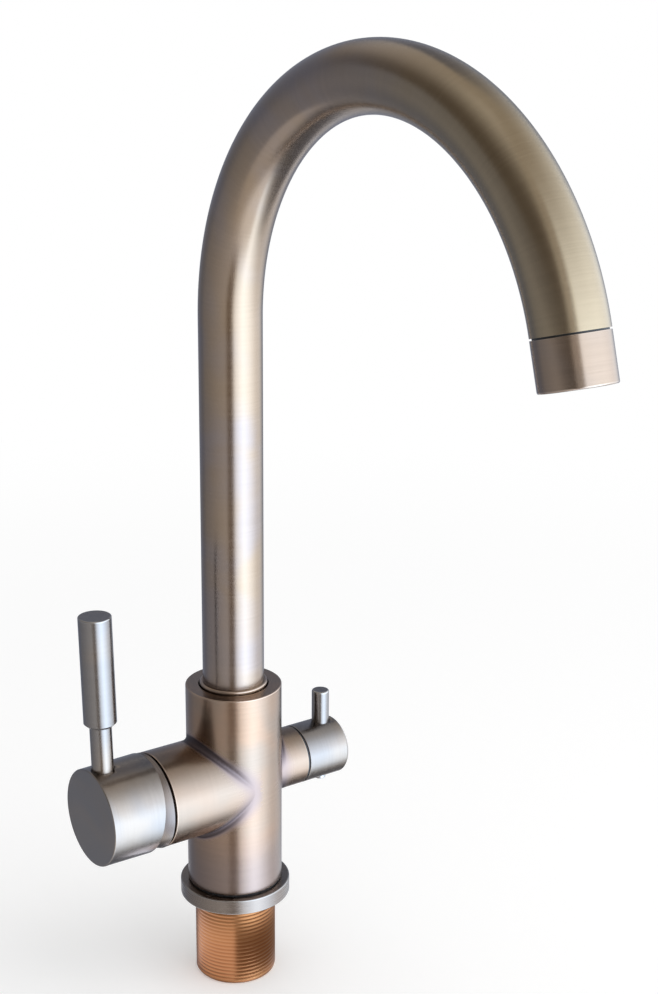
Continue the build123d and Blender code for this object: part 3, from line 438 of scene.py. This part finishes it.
def branch_to_barrel(side, axis, radius, blend, mouth):
    """A branch, its blend and its half of the barrel, as one grid round the branch's axis. A ball of the
    blend's radius b rolls in the corner: its centre is at ((r + b) sin t, (r + b) cos t) round the branch's
    axis and at x = root((R + b)^2 - (r + b)^2 sin^2 t). It touches the branch straight below its centre, and
    the barrel at its centre times R / (R + b); the blend is the arc between. The barrel's half is unrolled,
    and each place on the blend's edge is joined by a straight line to its place on the rectangle's edge. The
    valley is 1 on the blend and falls off as exp(-(distance / reach)^2) on both of its sides, further at the
    branch's flanks, where the reach grows and the value falls with sin^6 t."""
    t = np.linspace(0, 2 * np.pi, ROUND_BRANCH + 1)
    sine, cosine = np.sin(t), np.cos(t)
    centre_x = np.sqrt((BARREL_RADIUS + blend) ** 2 - ((radius + blend) * sine) ** 2)
    centre = np.stack((side * centre_x, (radius + blend) * sine, axis + (radius + blend) * cosine), axis=-1)
    on_branch = centre - blend * np.stack((0 * t, sine, cosine), axis=-1)
    inwards = BARREL_RADIUS / (BARREL_RADIUS + blend)
    on_barrel = centre * (inwards, inwards, 1)

    start = np.where(np.arange(3) == 0, side * mouth, on_branch)
    share = 1 - np.linspace(1, 0, BRANCH_ROWS)[:, None, None] ** 2
    run = start + (on_branch - start) * share

    first, last = (on_branch - centre) / blend, (on_barrel - centre) / blend
    swing = np.arccos(np.clip((first * last).sum(-1), -1, 1))[:, None]
    share = np.linspace(0, 1, BLEND_ROWS)[1:-1, None, None]
    spread = np.sin((1 - share) * swing) * first + np.sin(share * swing) * last
    arc = centre + blend * spread / np.sin(swing)

    turn = np.arctan2(on_barrel[:, 1], side * on_barrel[:, 0])
    eighth = np.linspace(0, 8, ROUND_BRANCH + 1)
    corner_heights = (PATCH_HIGH, PATCH_HIGH, PATCH_LOW, PATCH_LOW, PATCH_HIGH, PATCH_HIGH)
    edge_turn = np.interp(eighth, (0, 1, 3, 5, 7, 8), (0, 1, 1, -1, -1, 0)) * np.pi / 2
    edge_height = np.interp(eighth, (0, 1, 3, 5, 7, 8), corner_heights)
    share = np.linspace(0, 1, HALF_ROWS)[:, None] ** HALF_CROWDING
    turn = turn + (edge_turn - turn) * share
    height = on_barrel[:, 2] + (edge_height - on_barrel[:, 2]) * share
    half = np.stack((side * BARREL_RADIUS * np.cos(turn), BARREL_RADIUS * np.sin(turn), height), axis=-1)

    off = np.concatenate([np.linalg.norm(part - edge, axis=-1)
                          for part, edge in ((run, on_branch), (arc, arc), (half, on_barrel))])
    # The valley is the mask of the crease's painted shade and darker tint.
    flank = sine ** 6
    reach = VALLEY_REACH[0] + (VALLEY_REACH[1] - VALLEY_REACH[0]) * flank
    valley = (1 - (1 - VALLEY_FLANK) * flank) * np.exp(-(off / reach) ** 2)
    return cast_patch(np.concatenate((run, arc, half)), valley)


def cast_end(outline, path, columns):
    """A turned end of the body, with the body's values and the wear of its rounded edges."""
    turned = carried(rounded(outline), path, columns)
    return {**cast_patch(turned["points"]), "wear": turned["wear"]}


def along_branch(side, axis):
    """The path along a branch, whose sections start at the top and turn towards plus Y on both sides."""
    def path(distance):
        ones = np.ones((len(distance), 1))
        centre = np.array((0, 0, axis)) + distance[:, None] * side * X_AXIS
        return centre, ones * side * X_AXIS, ones * Z_AXIS, ones * Y_AXIS
    return path


def brushed_metal(name, warm, cool, worn, roughness, crossed=False, drift=None):
    """Satin-brushed plating on brass. Fine scratches circle the piece: they lighten and roughen it in lines
    and spread its highlights along the piece's run. Slow clouds turn the tone from warm to cool, and rounded
    edges are rubbed. crossed mixes the scratches of two directions by the attribute turn, where a branch
    meets the barrel. It paints the valley there with a darker violet-grey tint, partly painted shade, and
    the crease itself with a dark painted shade, and dulls it. drift is a tone that the plating turns to
    between two distances along the piece."""
    material, tree = new_tree(name)

    def scratches(attribute):
        lay = add(tree, "ShaderNodeAttribute", attribute_name=attribute).outputs["Vector"]
        spread = (1 / SCRATCH_SPACING, 1 / SCRATCH_LENGTH, 1 / SCRATCH_LENGTH)
        drawn = add(tree, "ShaderNodeVectorMath", {0: lay, 1: spread}, operation="MULTIPLY").outputs[0]
        return add(tree, "ShaderNodeTexNoise", {"Vector": drawn, "Scale": 1.0,
                                                "Detail": SCRATCH_DETAIL}).outputs["Fac"]

    lines = scratches("lay")
    if crossed:
        turn = add(tree, "ShaderNodeAttribute", attribute_name="turn").outputs["Fac"]
        lines = add(tree, "ShaderNodeMix", {0: turn, 2: scratches("branch_lay"), 3: lines}).outputs[0]
    place = add(tree, "ShaderNodeTexCoord").outputs["Object"]
    place = add(tree, "ShaderNodeVectorMath", {0: place, 1: CLOUD_SHIFT * METRES}).outputs[0]
    cloud = add(tree, "ShaderNodeTexNoise", {"Vector": place, "Scale": 1 / (CLOUD_SIZE * METRES),
                                             "Detail": CLOUD_DETAIL, "Distortion": CLOUD_TWIST})
    cloud = add(tree, "ShaderNodeMapRange", {"Value": cloud.outputs["Fac"], **CLOUD_RANGE},
                interpolation_type="SMOOTHSTEP").outputs[0]
    colour = add(tree, "ShaderNodeMix", {0: cloud, 6: linear(warm), 7: linear(cool)},
                 data_type="RGBA").outputs[2]
    if drift:
        tone, first, last = drift
        lay = add(tree, "ShaderNodeAttribute", attribute_name="lay").outputs["Vector"]
        distance = add(tree, "ShaderNodeSeparateXYZ", {0: lay}).outputs[0]
        drifted = add(tree, "ShaderNodeMapRange", {"Value": distance, "From Min": first, "From Max": last},
                      interpolation_type="SMOOTHSTEP").outputs[0]
        colour = add(tree, "ShaderNodeMix", {0: drifted, 6: colour, 7: linear(tone)},
                     data_type="RGBA").outputs[2]
    shade = add(tree, "ShaderNodeMapRange", {"Value": lines, **SCRATCH_RANGE, "To Min": 1 - SCRATCH_TONE,
                                             "To Max": 1 + SCRATCH_TONE}).outputs[0]
    colour = add(tree, "ShaderNodeHueSaturation", {"Color": colour, "Value": shade}).outputs[0]
    if crossed:
        # Painted shade: the valley turns a darker violet-grey, and the crease itself turns dark.
        valley = add(tree, "ShaderNodeAttribute", attribute_name="valley").outputs["Fac"]
        colour = add(tree, "ShaderNodeMix", {0: valley, 6: colour, 7: linear(VALLEY_TONE)},
                     data_type="RGBA").outputs[2]
        crease = add(tree, "ShaderNodeMapRange", {"Value": valley, "From Min": VALLEY_FLANK,
                                                  "To Max": CREASE_SHARE}).outputs[0]
        colour = add(tree, "ShaderNodeMix", {0: crease, 6: colour, 7: linear(PAINTED_CREASE_SHADE)},
                     data_type="RGBA").outputs[2]
    wear = add(tree, "ShaderNodeAttribute", attribute_name="wear").outputs["Fac"]
    rubbed = add(tree, "ShaderNodeMath", {0: wear, 1: RUBBED_SHARE}, operation="MULTIPLY").outputs[0]
    colour = add(tree, "ShaderNodeMix", {0: rubbed, 6: colour, 7: linear(worn)}, data_type="RGBA").outputs[2]
    rough = add(tree, "ShaderNodeMapRange", {"Value": lines, **SCRATCH_RANGE,
                                             "To Min": roughness - SCRATCH_ROUGHNESS,
                                             "To Max": roughness + SCRATCH_ROUGHNESS}).outputs[0]
    if crossed:
        rough = add(tree, "ShaderNodeMath", {0: valley, 1: VALLEY_ROUGHNESS, 2: rough},
                    operation="MULTIPLY_ADD").outputs[0]
    bump = add(tree, "ShaderNodeBump", {"Height": lines, "Strength": SCRATCH_RELIEF,
                                        "Distance": SCRATCH_DEPTH * METRES})
    run = add(tree, "ShaderNodeAttribute", attribute_name="run").outputs["Vector"]
    metal = add(tree, "ShaderNodeBsdfPrincipled", {
        "Base Color": colour, "Metallic": 1.0, "Roughness": rough, "Anisotropic": BRUSH_STRETCH,
        "Tangent": run, "Normal": bump.outputs[0]})
    add(tree, "ShaderNodeOutputMaterial", {"Surface": metal.outputs[0]})
    return material


def dress(piece, body, slot, material, *nodes):
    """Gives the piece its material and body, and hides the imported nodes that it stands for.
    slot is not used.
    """
    piece.data.materials.clear()
    piece.data.materials.append(material)
    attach(piece, body)
    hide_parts(*nodes)


# Antique bronze on cast and brushed brass. To the eye it is a warm brown metal with a silky sheen, paler on
# its rounded edges, with painted shade in the crease round each branch. Towards the foot of the barrel it
# turns to a greyer, darker tone: painted shade for the darker surroundings that it sees near the floor.
FOOT_SHADE_DRIFT = ("7f6f67", 42.0, 13.0)
body_plating = brushed_metal("brushed_cast_bronze_plating", "927966", "87786b", "ad9a8b", 0.25, crossed=True,
                             drift=FOOT_SHADE_DRIFT)
upright_path = straight(np.zeros(3), Z_AXIS, X_AXIS)
mixer_path, filter_path = along_branch(-1, MIXER_AXIS), along_branch(1, FILTER_AXIS)
spout_end_of_barrel = [
    (PATCH_HIGH, BARREL_RADIUS), (BARREL_TOP, BARREL_RADIUS, BARREL_ROUND), (BARREL_TOP, BUSH_SEAT_RADIUS),
    (BUSH_SEAT_FLOOR, BUSH_SEAT_RADIUS), (BUSH_SEAT_FLOOR, SOCKET_RADIUS), (SNAP_GROOVE_HIGH, SOCKET_RADIUS),
    (SNAP_GROOVE_HIGH, SNAP_GROOVE_RADIUS), (SNAP_GROOVE_LOW, SNAP_GROOVE_RADIUS),
    (SNAP_GROOVE_LOW, SOCKET_RADIUS), (SOCKET_FLOOR, SOCKET_RADIUS), (SOCKET_FLOOR, 0)]
shank_end_of_barrel = [
    (PATCH_LOW, BARREL_RADIUS), (BARREL_BOTTOM, BARREL_RADIUS, BARREL_ROUND), (BARREL_BOTTOM, NECK_RADIUS),
    (NECK_BOTTOM, NECK_RADIUS), (NECK_BOTTOM, SHANK_SEAT_RADIUS), (SHANK_SEAT_TOP, SHANK_SEAT_RADIUS),
    (SHANK_SEAT_TOP, 0)]
mixer_end = [
    (MIXER_MOUTH, MIXER_RADIUS), (MIXER_END, MIXER_RADIUS, MIXER_ROUND), (MIXER_END, NUT_SEAT_RADIUS),
    (NUT_SEAT_FLOOR, NUT_SEAT_RADIUS), (NUT_SEAT_FLOOR, CARTRIDGE_RADIUS),
    (CARTRIDGE_FLOOR, CARTRIDGE_RADIUS), (CARTRIDGE_FLOOR, 0)]
filter_end = [
    (FILTER_MOUTH, FILTER_RADIUS), (FILTER_END, FILTER_RADIUS, FILTER_ROUND), (FILTER_END, VALVE_RADIUS),
    (VALVE_FLOOR, VALVE_RADIUS), (VALVE_FLOOR, 0)]
body = surface("tap_body", [
    branch_to_barrel(-1, MIXER_AXIS, MIXER_RADIUS, MIXER_BLEND, MIXER_MOUTH),
    branch_to_barrel(1, FILTER_AXIS, FILTER_RADIUS, FILTER_BLEND, FILTER_MOUTH),
    cast_end(spout_end_of_barrel, upright_path, ROUND_BARREL),
    cast_end(shank_end_of_barrel, upright_path, ROUND_BARREL),
    cast_end(mixer_end, mixer_path, ROUND_BRANCH),
    cast_end(filter_end, filter_path, ROUND_BRANCH)])
dress(body, "body", "bronze_brass", body_plating, "body_casting")


# Base ring. A turned brass ring with softly rounded edges, plated, that spreads the load on the worktop. The
# barrel's neck stands in its upper recess, the gasket lies in its lower one and the shank passes its bore.
RING_RADIUS, RING_TOP, RING_ROUND = 23.25, 6.5, 0.5
RING_BORE = 16.6
RING_SEAT_RADIUS = 18.9
RING_CLOSE = 2.0
GASKET_INNER, GASKET_OUTER, GASKET_DEPTH = 18.5, 22.0, 1.2

# Dark nickel, brushed round: a plain mid grey with a broad sheen, browner than the handles.
gunmetal_plating = brushed_metal("brushed_gunmetal_plating", "80746b", "78716c", "97938f", 0.27)
ring = surface("base_ring_turned", [carried(rounded([
    (RING_CLOSE, RING_BORE), (NECK_BOTTOM, RING_BORE), (NECK_BOTTOM, RING_SEAT_RADIUS),
    (RING_TOP, RING_SEAT_RADIUS), (RING_TOP, RING_RADIUS, RING_ROUND), (0, RING_RADIUS, RING_ROUND),
    (0, GASKET_OUTER), (GASKET_DEPTH, GASKET_OUTER), (GASKET_DEPTH, GASKET_INNER), (0, GASKET_INNER),
    (0, RING_BORE), (RING_CLOSE, RING_BORE)]), upright_path, columns=160)])
dress(ring, "body", "ring_nickel", gunmetal_plating, "base_ring")


# Threaded shank. A hollow red brass stud, left bare, with one fine thread cut along it in a long screw line.
# It passes through the worktop, where a nut pulls the tap down, and its spigot is screwed into the body.
SHANK_RADIUS, SHANK_BORE, SHANK_SPIGOT = 17.1, 14.5, 16.5
SHANK_END, SHANK_TOP = -36.8, 19.0
SHANK_CHAMFER = 1.0
THREAD_PITCH = 1.7
THREAD_FLANK, THREAD_CREST = 0.51, 0.425
THREAD_RUN_OUT = (-2.4, -1.0)
ROUND_SHANK = 144
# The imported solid's ridges are 0.7 mm deep. The real ones look low and rubbed, and are drawn shallower.
THREAD_DEPTH = 0.26


def threaded_outside():
    """Rows follow the screw line: height = row + pitch × t / 2 pi, kept between the shank's end and its
    shoulder. The radius is the root's or the crest's, row by row. It rises to the crest's at the shoulder,
    and at the chamfered end it is no more than radius - chamfer + height above the end."""
    t = np.linspace(0, 2 * np.pi, ROUND_SHANK + 1)
    starts = np.arange(SHANK_END - THREAD_PITCH, THREAD_PITCH, THREAD_PITCH)[:, None]
    steps = np.array((0, THREAD_FLANK, THREAD_FLANK + THREAD_CREST, 2 * THREAD_FLANK + THREAD_CREST))
    ridge = np.tile((0.0, 1.0, 1.0, 0.0), len(starts))[:, None]
    height = (starts + steps).reshape(-1, 1) + THREAD_PITCH * t / (2 * np.pi)
    height = np.clip(height, SHANK_END, 0)
    ridge = np.maximum(ridge, smooth_step(height, *THREAD_RUN_OUT))
    radius = SHANK_RADIUS - THREAD_DEPTH * (1 - ridge)
    radius = np.minimum(radius, SHANK_RADIUS - SHANK_CHAMFER + (height - SHANK_END))
    points = np.stack((radius * np.cos(t), radius * np.sin(t), height), axis=-1)
    lay = np.stack((height, points[..., 0], points[..., 1]), axis=-1)
    return {"points": points, "lay": lay, "run": np.broadcast_to(Z_AXIS, points.shape), "wear": ridge}


# Red brass as the tool left it: a matt orange brown, with the crests rubbed a little paler than the roots.
red_brass = brushed_metal("threaded_red_brass", "8e5f3b", "835334", "9e704b", 0.40)
shank_inside = carried(rounded([
    (0, SHANK_RADIUS), (0, SHANK_SPIGOT), (SHANK_TOP, SHANK_SPIGOT), (SHANK_TOP, SHANK_BORE),
    (SHANK_END, SHANK_BORE), (SHANK_END, SHANK_RADIUS - SHANK_CHAMFER)]), upright_path, ROUND_SHANK)
shank = surface("threaded_shank_cut", [threaded_outside(), shank_inside])
dress(shank, "body", "shank_copper", red_brass, "threaded_shank")


# Domed ring. A turned brass cover in the mouth of the left branch: part of a ball, so that the handle cap
# can tilt over it and the gap stays narrow. A plain spigot holds it in the casting.
DOME_RADIUS, DOME_CENTRE = 20.6, 36.0
DOME_START, DOME_FRONT = 41.1, 49.0
DOME_SPIGOT, DOME_SPIGOT_END, DOME_SPIGOT_ROUND = 16.3, 37.4, 0.3
DOME_BORE = 13.5
DOME_ROWS = 24

# The same bronze as the body, drawn darker and greyer where it sits under the cap's rim, with a dull sheen.
dull_plating = brushed_metal("brushed_dull_bronze_plating", "786b5f", "706865", "8f8479", 0.28)
swing = np.linspace(math.acos((DOME_START - DOME_CENTRE) / DOME_RADIUS),
                    math.acos((DOME_FRONT - DOME_CENTRE) / DOME_RADIUS), DOME_ROWS)
ball = np.column_stack((DOME_CENTRE + DOME_RADIUS * np.cos(swing), DOME_RADIUS * np.sin(swing), 0 * swing))
inside = rounded([
    (DOME_FRONT, ball[-1, 1]), (DOME_FRONT, DOME_BORE), (DOME_SPIGOT_END, DOME_BORE),
    (DOME_SPIGOT_END, DOME_SPIGOT, DOME_SPIGOT_ROUND), (DOME_START, DOME_SPIGOT), (DOME_START, ball[0, 1])])
dome = surface("domed_ring", [carried(np.concatenate((ball, inside)), mixer_path, columns=160)])
dress(dome, "body", "bronze_brass", dull_plating, "dome_ring")


# Handle cap, filter knob and their levers. They are turned from brass, brushed and nickel plated. The cap is
# a thick-fronted cup whose rim is cut off at a slant. Each lever is a rod whose thin end stands in a drilled
# hole of the cap or the knob, and a set screw holds the cap on the cartridge.
LEVER_REACH = 61.86
LEVER_LEAN = math.radians(1.33)
LEVER_LOW, LEVER_TOP = 6.0, 85.3
LEVER_SPIGOT, SPIGOT_ROUND = 3.0, 0.3
LEVER_NECK, NECK_START = 4.45, 17.5
LEVER_GRIP, GRIP_START, GRIP_CONE, GRIP_ROUND = 6.65, 39.2, 1.3, 0.5
PIN_REACH = 44.5
PIN_LOW, PIN_TOP = 4.0, 26.7
PIN_SPIGOT, PIN_SPIGOT_ROUND = 2.0, 0.2
PIN_RADIUS, PIN_START, PIN_ROUND = 3.725, 10.0, 0.7
PACKED_MERGE_GAP = 0.002

# Satin nickel: a silvery grey, cooler than the bronze, with clean soft bands of light along each turned form.
nickel_plating = brushed_metal("brushed_nickel_plating", "8b8076", "807b78", "a8a4a0", 0.25)


def from_packed(name, node, path, sharp=30):
    """A merged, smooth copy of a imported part, with lay and run about its turning axis in the given path. A
    slanted rim and drilled holes aren't turned forms, so the cap and the knob keep the solid's shape."""
    mesh = frame["nodes"][node].data.copy()
    mesh.name = name
    work = bmesh.new()
    work.from_mesh(mesh)
    bmesh.ops.remove_doubles(work, verts=work.verts, dist=PACKED_MERGE_GAP * METRES)
    work.to_mesh(mesh)
    work.free()
    places = np.empty(len(mesh.vertices) * 3, np.float32)
    mesh.vertices.foreach_get("co", places)
    origin, along, across, aside = (part[0] for part in path(np.zeros(1)))
    offset = places.reshape(-1, 3) / METRES - origin
    lay = np.stack((offset @ along, offset @ across, offset @ aside), axis=-1)
    run = np.tile(along, len(lay))
    mesh.attributes.new("lay", "FLOAT_VECTOR", "POINT").data.foreach_set("vector", lay.ravel())
    mesh.attributes.new("run", "FLOAT_VECTOR", "POINT").data.foreach_set("vector", run)
    mesh.attributes.new("wear", "FLOAT", "POINT")
    piece = smoothed(name, mesh, sharp)
    true_shading = piece.modifiers.new("true_shading", "WEIGHTED_NORMAL")
    true_shading.keep_sharp = True
    return piece


cap = from_packed("handle_cap_shell", "handle_cap", mixer_path)
dress(cap, "mixer_handle", "nickel_handle", nickel_plating, "handle_cap")

lever_up = np.array((-math.sin(LEVER_LEAN), 0, math.cos(LEVER_LEAN)))
lever_path = straight(np.array((-LEVER_REACH, 0, MIXER_AXIS)), lever_up, Y_AXIS)
lever = surface("mixer_lever_rod", [carried(rounded([
    (LEVER_LOW, 0), (LEVER_LOW, LEVER_SPIGOT, SPIGOT_ROUND), (NECK_START, LEVER_SPIGOT),
    (NECK_START, LEVER_NECK), (GRIP_START, LEVER_NECK), (GRIP_START, LEVER_GRIP - GRIP_CONE),
    (GRIP_START + GRIP_CONE, LEVER_GRIP), (LEVER_TOP, LEVER_GRIP, GRIP_ROUND), (LEVER_TOP, 0)]), lever_path)])
dress(lever, "mixer_handle", "nickel_handle", nickel_plating, "mixer_lever")

knob = from_packed("filter_knob_shell", "filter_knob", filter_path)
dress(knob, "filter_handle", "nickel_handle", nickel_plating, "filter_knob")

pin_path = straight(np.array((PIN_REACH, 0, FILTER_AXIS)), Z_AXIS, X_AXIS)
pin = surface("filter_pin", [carried(rounded([
    (PIN_LOW, 0), (PIN_LOW, PIN_SPIGOT, PIN_SPIGOT_ROUND), (PIN_START, PIN_SPIGOT), (PIN_START, PIN_RADIUS),
    (PIN_TOP, PIN_RADIUS, PIN_ROUND), (PIN_TOP, 0)]), pin_path, columns=96)])
dress(pin, "filter_handle", "nickel_handle", nickel_plating, "filter_pin_lever")


# Spout foot. A turned brass bush, brazed on the tube's lower end: its rounded collar shows in the mouth of
# the barrel, and seal rings and a snap ring sit in its grooves below.
FOOT_RADIUS, FOOT_BORE = 14.1, 10.5
FOOT_BOTTOM, FOOT_TOP, FOOT_CLOSE = 70.0, 97.0, 75.0
FOOT_ROUND, FOOT_LOW_ROUND = 0.8, 0.3
TUBE_RADIUS, TUBE_SEAT = 12.7, 81.5
SEAL_GROOVES = ((72.4, 74.4, 12.2), (75.4, 77.4, 12.2), (78.4, 80.2, 12.9))

# Antique bronze, brushed round: the body's warm brown, a shade more golden.
bronze_plating = brushed_metal("brushed_bronze_plating", "8c7862", "857469", "ad9a8b", 0.25)
grooved = [point for low, high, depth in SEAL_GROOVES
           for point in ((low, FOOT_RADIUS), (low, depth), (high, depth), (high, FOOT_RADIUS))]
foot = surface("spout_foot_collar", [carried(rounded([
    (FOOT_CLOSE, FOOT_BORE), (FOOT_BOTTOM, FOOT_BORE), (FOOT_BOTTOM, FOOT_RADIUS, FOOT_LOW_ROUND), *grooved,
    (FOOT_TOP, FOOT_RADIUS, FOOT_ROUND), (FOOT_TOP, TUBE_RADIUS), (TUBE_SEAT, TUBE_RADIUS),
    (TUBE_SEAT, FOOT_BORE), (FOOT_CLOSE, FOOT_BORE)]), upright_path)])
dress(foot, "spout", "bronze_brass", bronze_plating, "spout_foot")


# Spout tube. A drawn brass tube, bent cold over a former, plated, and brushed round and round, so that fine
# lines circle it and the light runs along it in long bands.
TUBE_BORE = 11.2
ARC_CENTRE_HEIGHT, ARC_RADIUS = 249.2, 97.0
ARC_ANGLE = math.radians(164.3)
SPOUT_END = ARC_CENTRE_HEIGHT + ARC_RADIUS * ARC_ANGLE
STRAIGHT_ROWS, ARC_ROWS = 25, 111


def spout_path(distance):
    """Up along Z to the arc's centre height, over on a circle of the arc's radius, then straight on.
    On the circle the place is (0, R cos a - R, height + R sin a) and the direction is (0, -sin a, cos a)."""
    angle = np.clip((distance - ARC_CENTRE_HEIGHT) / ARC_RADIUS, 0, ARC_ANGLE)
    sine, cosine, nil = np.sin(angle), np.cos(angle), np.zeros(len(distance))
    along = np.stack((nil, -sine, cosine), axis=-1)
    spare = np.minimum(distance, ARC_CENTRE_HEIGHT) - ARC_CENTRE_HEIGHT + np.maximum(distance - SPOUT_END, 0)
    centre = np.stack((nil, ARC_RADIUS * (cosine - 1), ARC_CENTRE_HEIGHT + ARC_RADIUS * sine), axis=-1)
    across = np.stack((nil + 1, nil, nil), axis=-1)
    return centre + spare[:, None] * along, along, across, np.cross(along, across)


# Champagne bronze: a paler, greyer brown than the body, which turns to olive past the top of the bend.
OLIVE_DRIFT = ("91826c", 370.0, 460.0)
champagne_plating = brushed_metal("brushed_champagne_plating", "907e6c", "8a7e78", "a4978c", 0.24,
                                  drift=OLIVE_DRIFT)
tube_rows = np.concatenate((np.linspace(TUBE_SEAT, ARC_CENTRE_HEIGHT, STRAIGHT_ROWS, endpoint=False),
                            np.linspace(ARC_CENTRE_HEIGHT, SPOUT_END, ARC_ROWS)))
wall = np.column_stack((tube_rows, np.full(len(tube_rows), TUBE_RADIUS), np.zeros(len(tube_rows))))
bore = wall[::-1] * (1, TUBE_BORE / TUBE_RADIUS, 1)
closed_wall = np.concatenate((wall, bore, wall[:1]))
tube = surface("spout_tube_brushed", [carried(closed_wall, spout_path, columns=160)])
dress(tube, "spout", "champagne_tube", champagne_plating, "spout_tube")


# Nozzle. A turned brass cap, screwed on the adapter at the spout's end, that holds the aerator. The black
# adapter shows as a dark line above it.
NOZZLE_GAP, NOZZLE_LENGTH, NOZZLE_CLOSE = 0.6, 17.1, 4.0
NOZZLE_TOP_ROUND, NOZZLE_ROUND = 0.12, 0.6
NOZZLE_THREAD, NOZZLE_THREAD_END = 11.2, 7.3
NOZZLE_CAVITY = 11.6
NOZZLE_OUTLET, NOZZLE_LIP = 10.6, 0.5
nozzle_end = SPOUT_END + NOZZLE_LENGTH
nozzle_lip = nozzle_end - NOZZLE_LIP

# The same plating on a turned and finely polished piece: pinker and shinier than the tube.
nozzle_plating = brushed_metal("brushed_rose_plating", "8f7d6d", "887b71", "ab9c8f", 0.20)
nozzle = surface("nozzle_cap", [carried(rounded([
    (SPOUT_END + NOZZLE_CLOSE, NOZZLE_THREAD), (SPOUT_END + NOZZLE_GAP, NOZZLE_THREAD),
    (SPOUT_END + NOZZLE_GAP, TUBE_RADIUS, NOZZLE_TOP_ROUND), (nozzle_end, TUBE_RADIUS, NOZZLE_ROUND),
    (nozzle_end, NOZZLE_OUTLET), (nozzle_lip, NOZZLE_OUTLET), (nozzle_lip, NOZZLE_CAVITY),
    (SPOUT_END + NOZZLE_THREAD_END, NOZZLE_CAVITY), (SPOUT_END + NOZZLE_THREAD_END, NOZZLE_THREAD),
    (SPOUT_END + NOZZLE_CLOSE, NOZZLE_THREAD)]), spout_path)])
dress(nozzle, "spout", "nozzle_plating", nozzle_plating, "nozzle_shell")


# Inner and small parts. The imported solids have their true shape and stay: ceramic discs, moulded cartridge
# and valve parts, rubber seals, the filter hose, screws and the aerator. Each kind gets its own finish.
GRAIN_DETAIL = 4.0
GRAIN_RANGE = {"From Min": 0.35, "From Max": 0.65}
GRAIN_ROUGHNESS = 0.05
GRAIN_RELIEF = 0.5


def plain_finish(name, deep, pale, metallic, roughness, grain, depth):
    """A moulded, ground or turned finish: the tone wanders between two colours in grains of the given size in
    millimetres, and the same grains roughen the surface and stand the given depth in millimetres proud."""
    material, tree = new_tree(name)
    place = add(tree, "ShaderNodeTexCoord").outputs["Object"]
    noise = add(tree, "ShaderNodeTexNoise", {"Vector": place, "Scale": 1 / (grain * METRES),
                                             "Detail": GRAIN_DETAIL})
    tone = add(tree, "ShaderNodeMapRange", {"Value": noise.outputs["Fac"], **GRAIN_RANGE}).outputs[0]
    colour = add(tree, "ShaderNodeMix", {0: tone, 6: linear(deep), 7: linear(pale)}, data_type="RGBA")
    rough = add(tree, "ShaderNodeMapRange", {"Value": tone, "To Min": roughness - GRAIN_ROUGHNESS,
                                             "To Max": roughness + GRAIN_ROUGHNESS})
    bump = add(tree, "ShaderNodeBump", {"Height": tone, "Strength": GRAIN_RELIEF, "Distance": depth * METRES})
    shader = add(tree, "ShaderNodeBsdfPrincipled", {
        "Base Color": colour.outputs[2], "Metallic": metallic, "Roughness": rough.outputs[0],
        "Normal": bump.outputs[0]})
    add(tree, "ShaderNodeOutputMaterial", {"Surface": shader.outputs[0]})
    return material


# Brass straight from the lathe is yellow and bright; ceramic is ground white and dense; acetal and ABS have
# the soft grain of a mould; nitrile rubber is black and dull; polythene hose is milky; the steel parts are
# turned, drawn or etched and shine a cold grey. Grains are 0.4 to 1.5 mm, coarser than the real ones, so that
# they show at all.
FINISHES = {
    "bare_brass": plain_finish("turned_brass", "b3924f", "c7a763", 1.0, 0.28, 0.8, 0.01),
    "ceramic_white": plain_finish("ground_alumina_ceramic", "e2dfd8", "efede8", 0.0, 0.2, 0.5, 0.004),
    "cartridge_plastic": plain_finish("moulded_white_acetal", "d6d4ce", "e2e0da", 0.0, 0.42, 0.7, 0.01),
    "black_plastic": plain_finish("moulded_black_abs", "141414", "1d1d1e", 0.0, 0.45, 0.6, 0.01),
    "bush_plastic": plain_finish("moulded_grey_acetal", "3a3a3c", "48484a", 0.0, 0.45, 0.7, 0.01),
    "seal_rubber": plain_finish("moulded_nitrile_rubber", "0f0f10", "1a1a1b", 0.0, 0.62, 0.5, 0.015),
    "filter_hose": plain_finish("extruded_white_polythene", "d9dcdd", "e7e9ea", 0.0, 0.38, 1.5, 0.01),
    "spring_steel": plain_finish("drawn_spring_steel", "8c8d90", "a2a3a6", 1.0, 0.3, 0.5, 0.005),
    "screw_steel": plain_finish("turned_stainless_steel", "8f8f90", "a9a8a7", 1.0, 0.28, 0.4, 0.005),
    "aerator_plastic": plain_finish("moulded_grey_abs", "8e9092", "9fa1a3", 0.0, 0.4, 0.7, 0.01),
    "mesh_steel": plain_finish("etched_stainless_mesh", "9b9c9d", "b4b4b3", 1.0, 0.32, 0.4, 0.01),
}
for part in frame["record"]["subparts"]:
    if part["material_slot"] in FINISHES:
        for holder in frame["nodes"][part["node"]].material_slots:
            holder.material = FINISHES[part["material_slot"]]
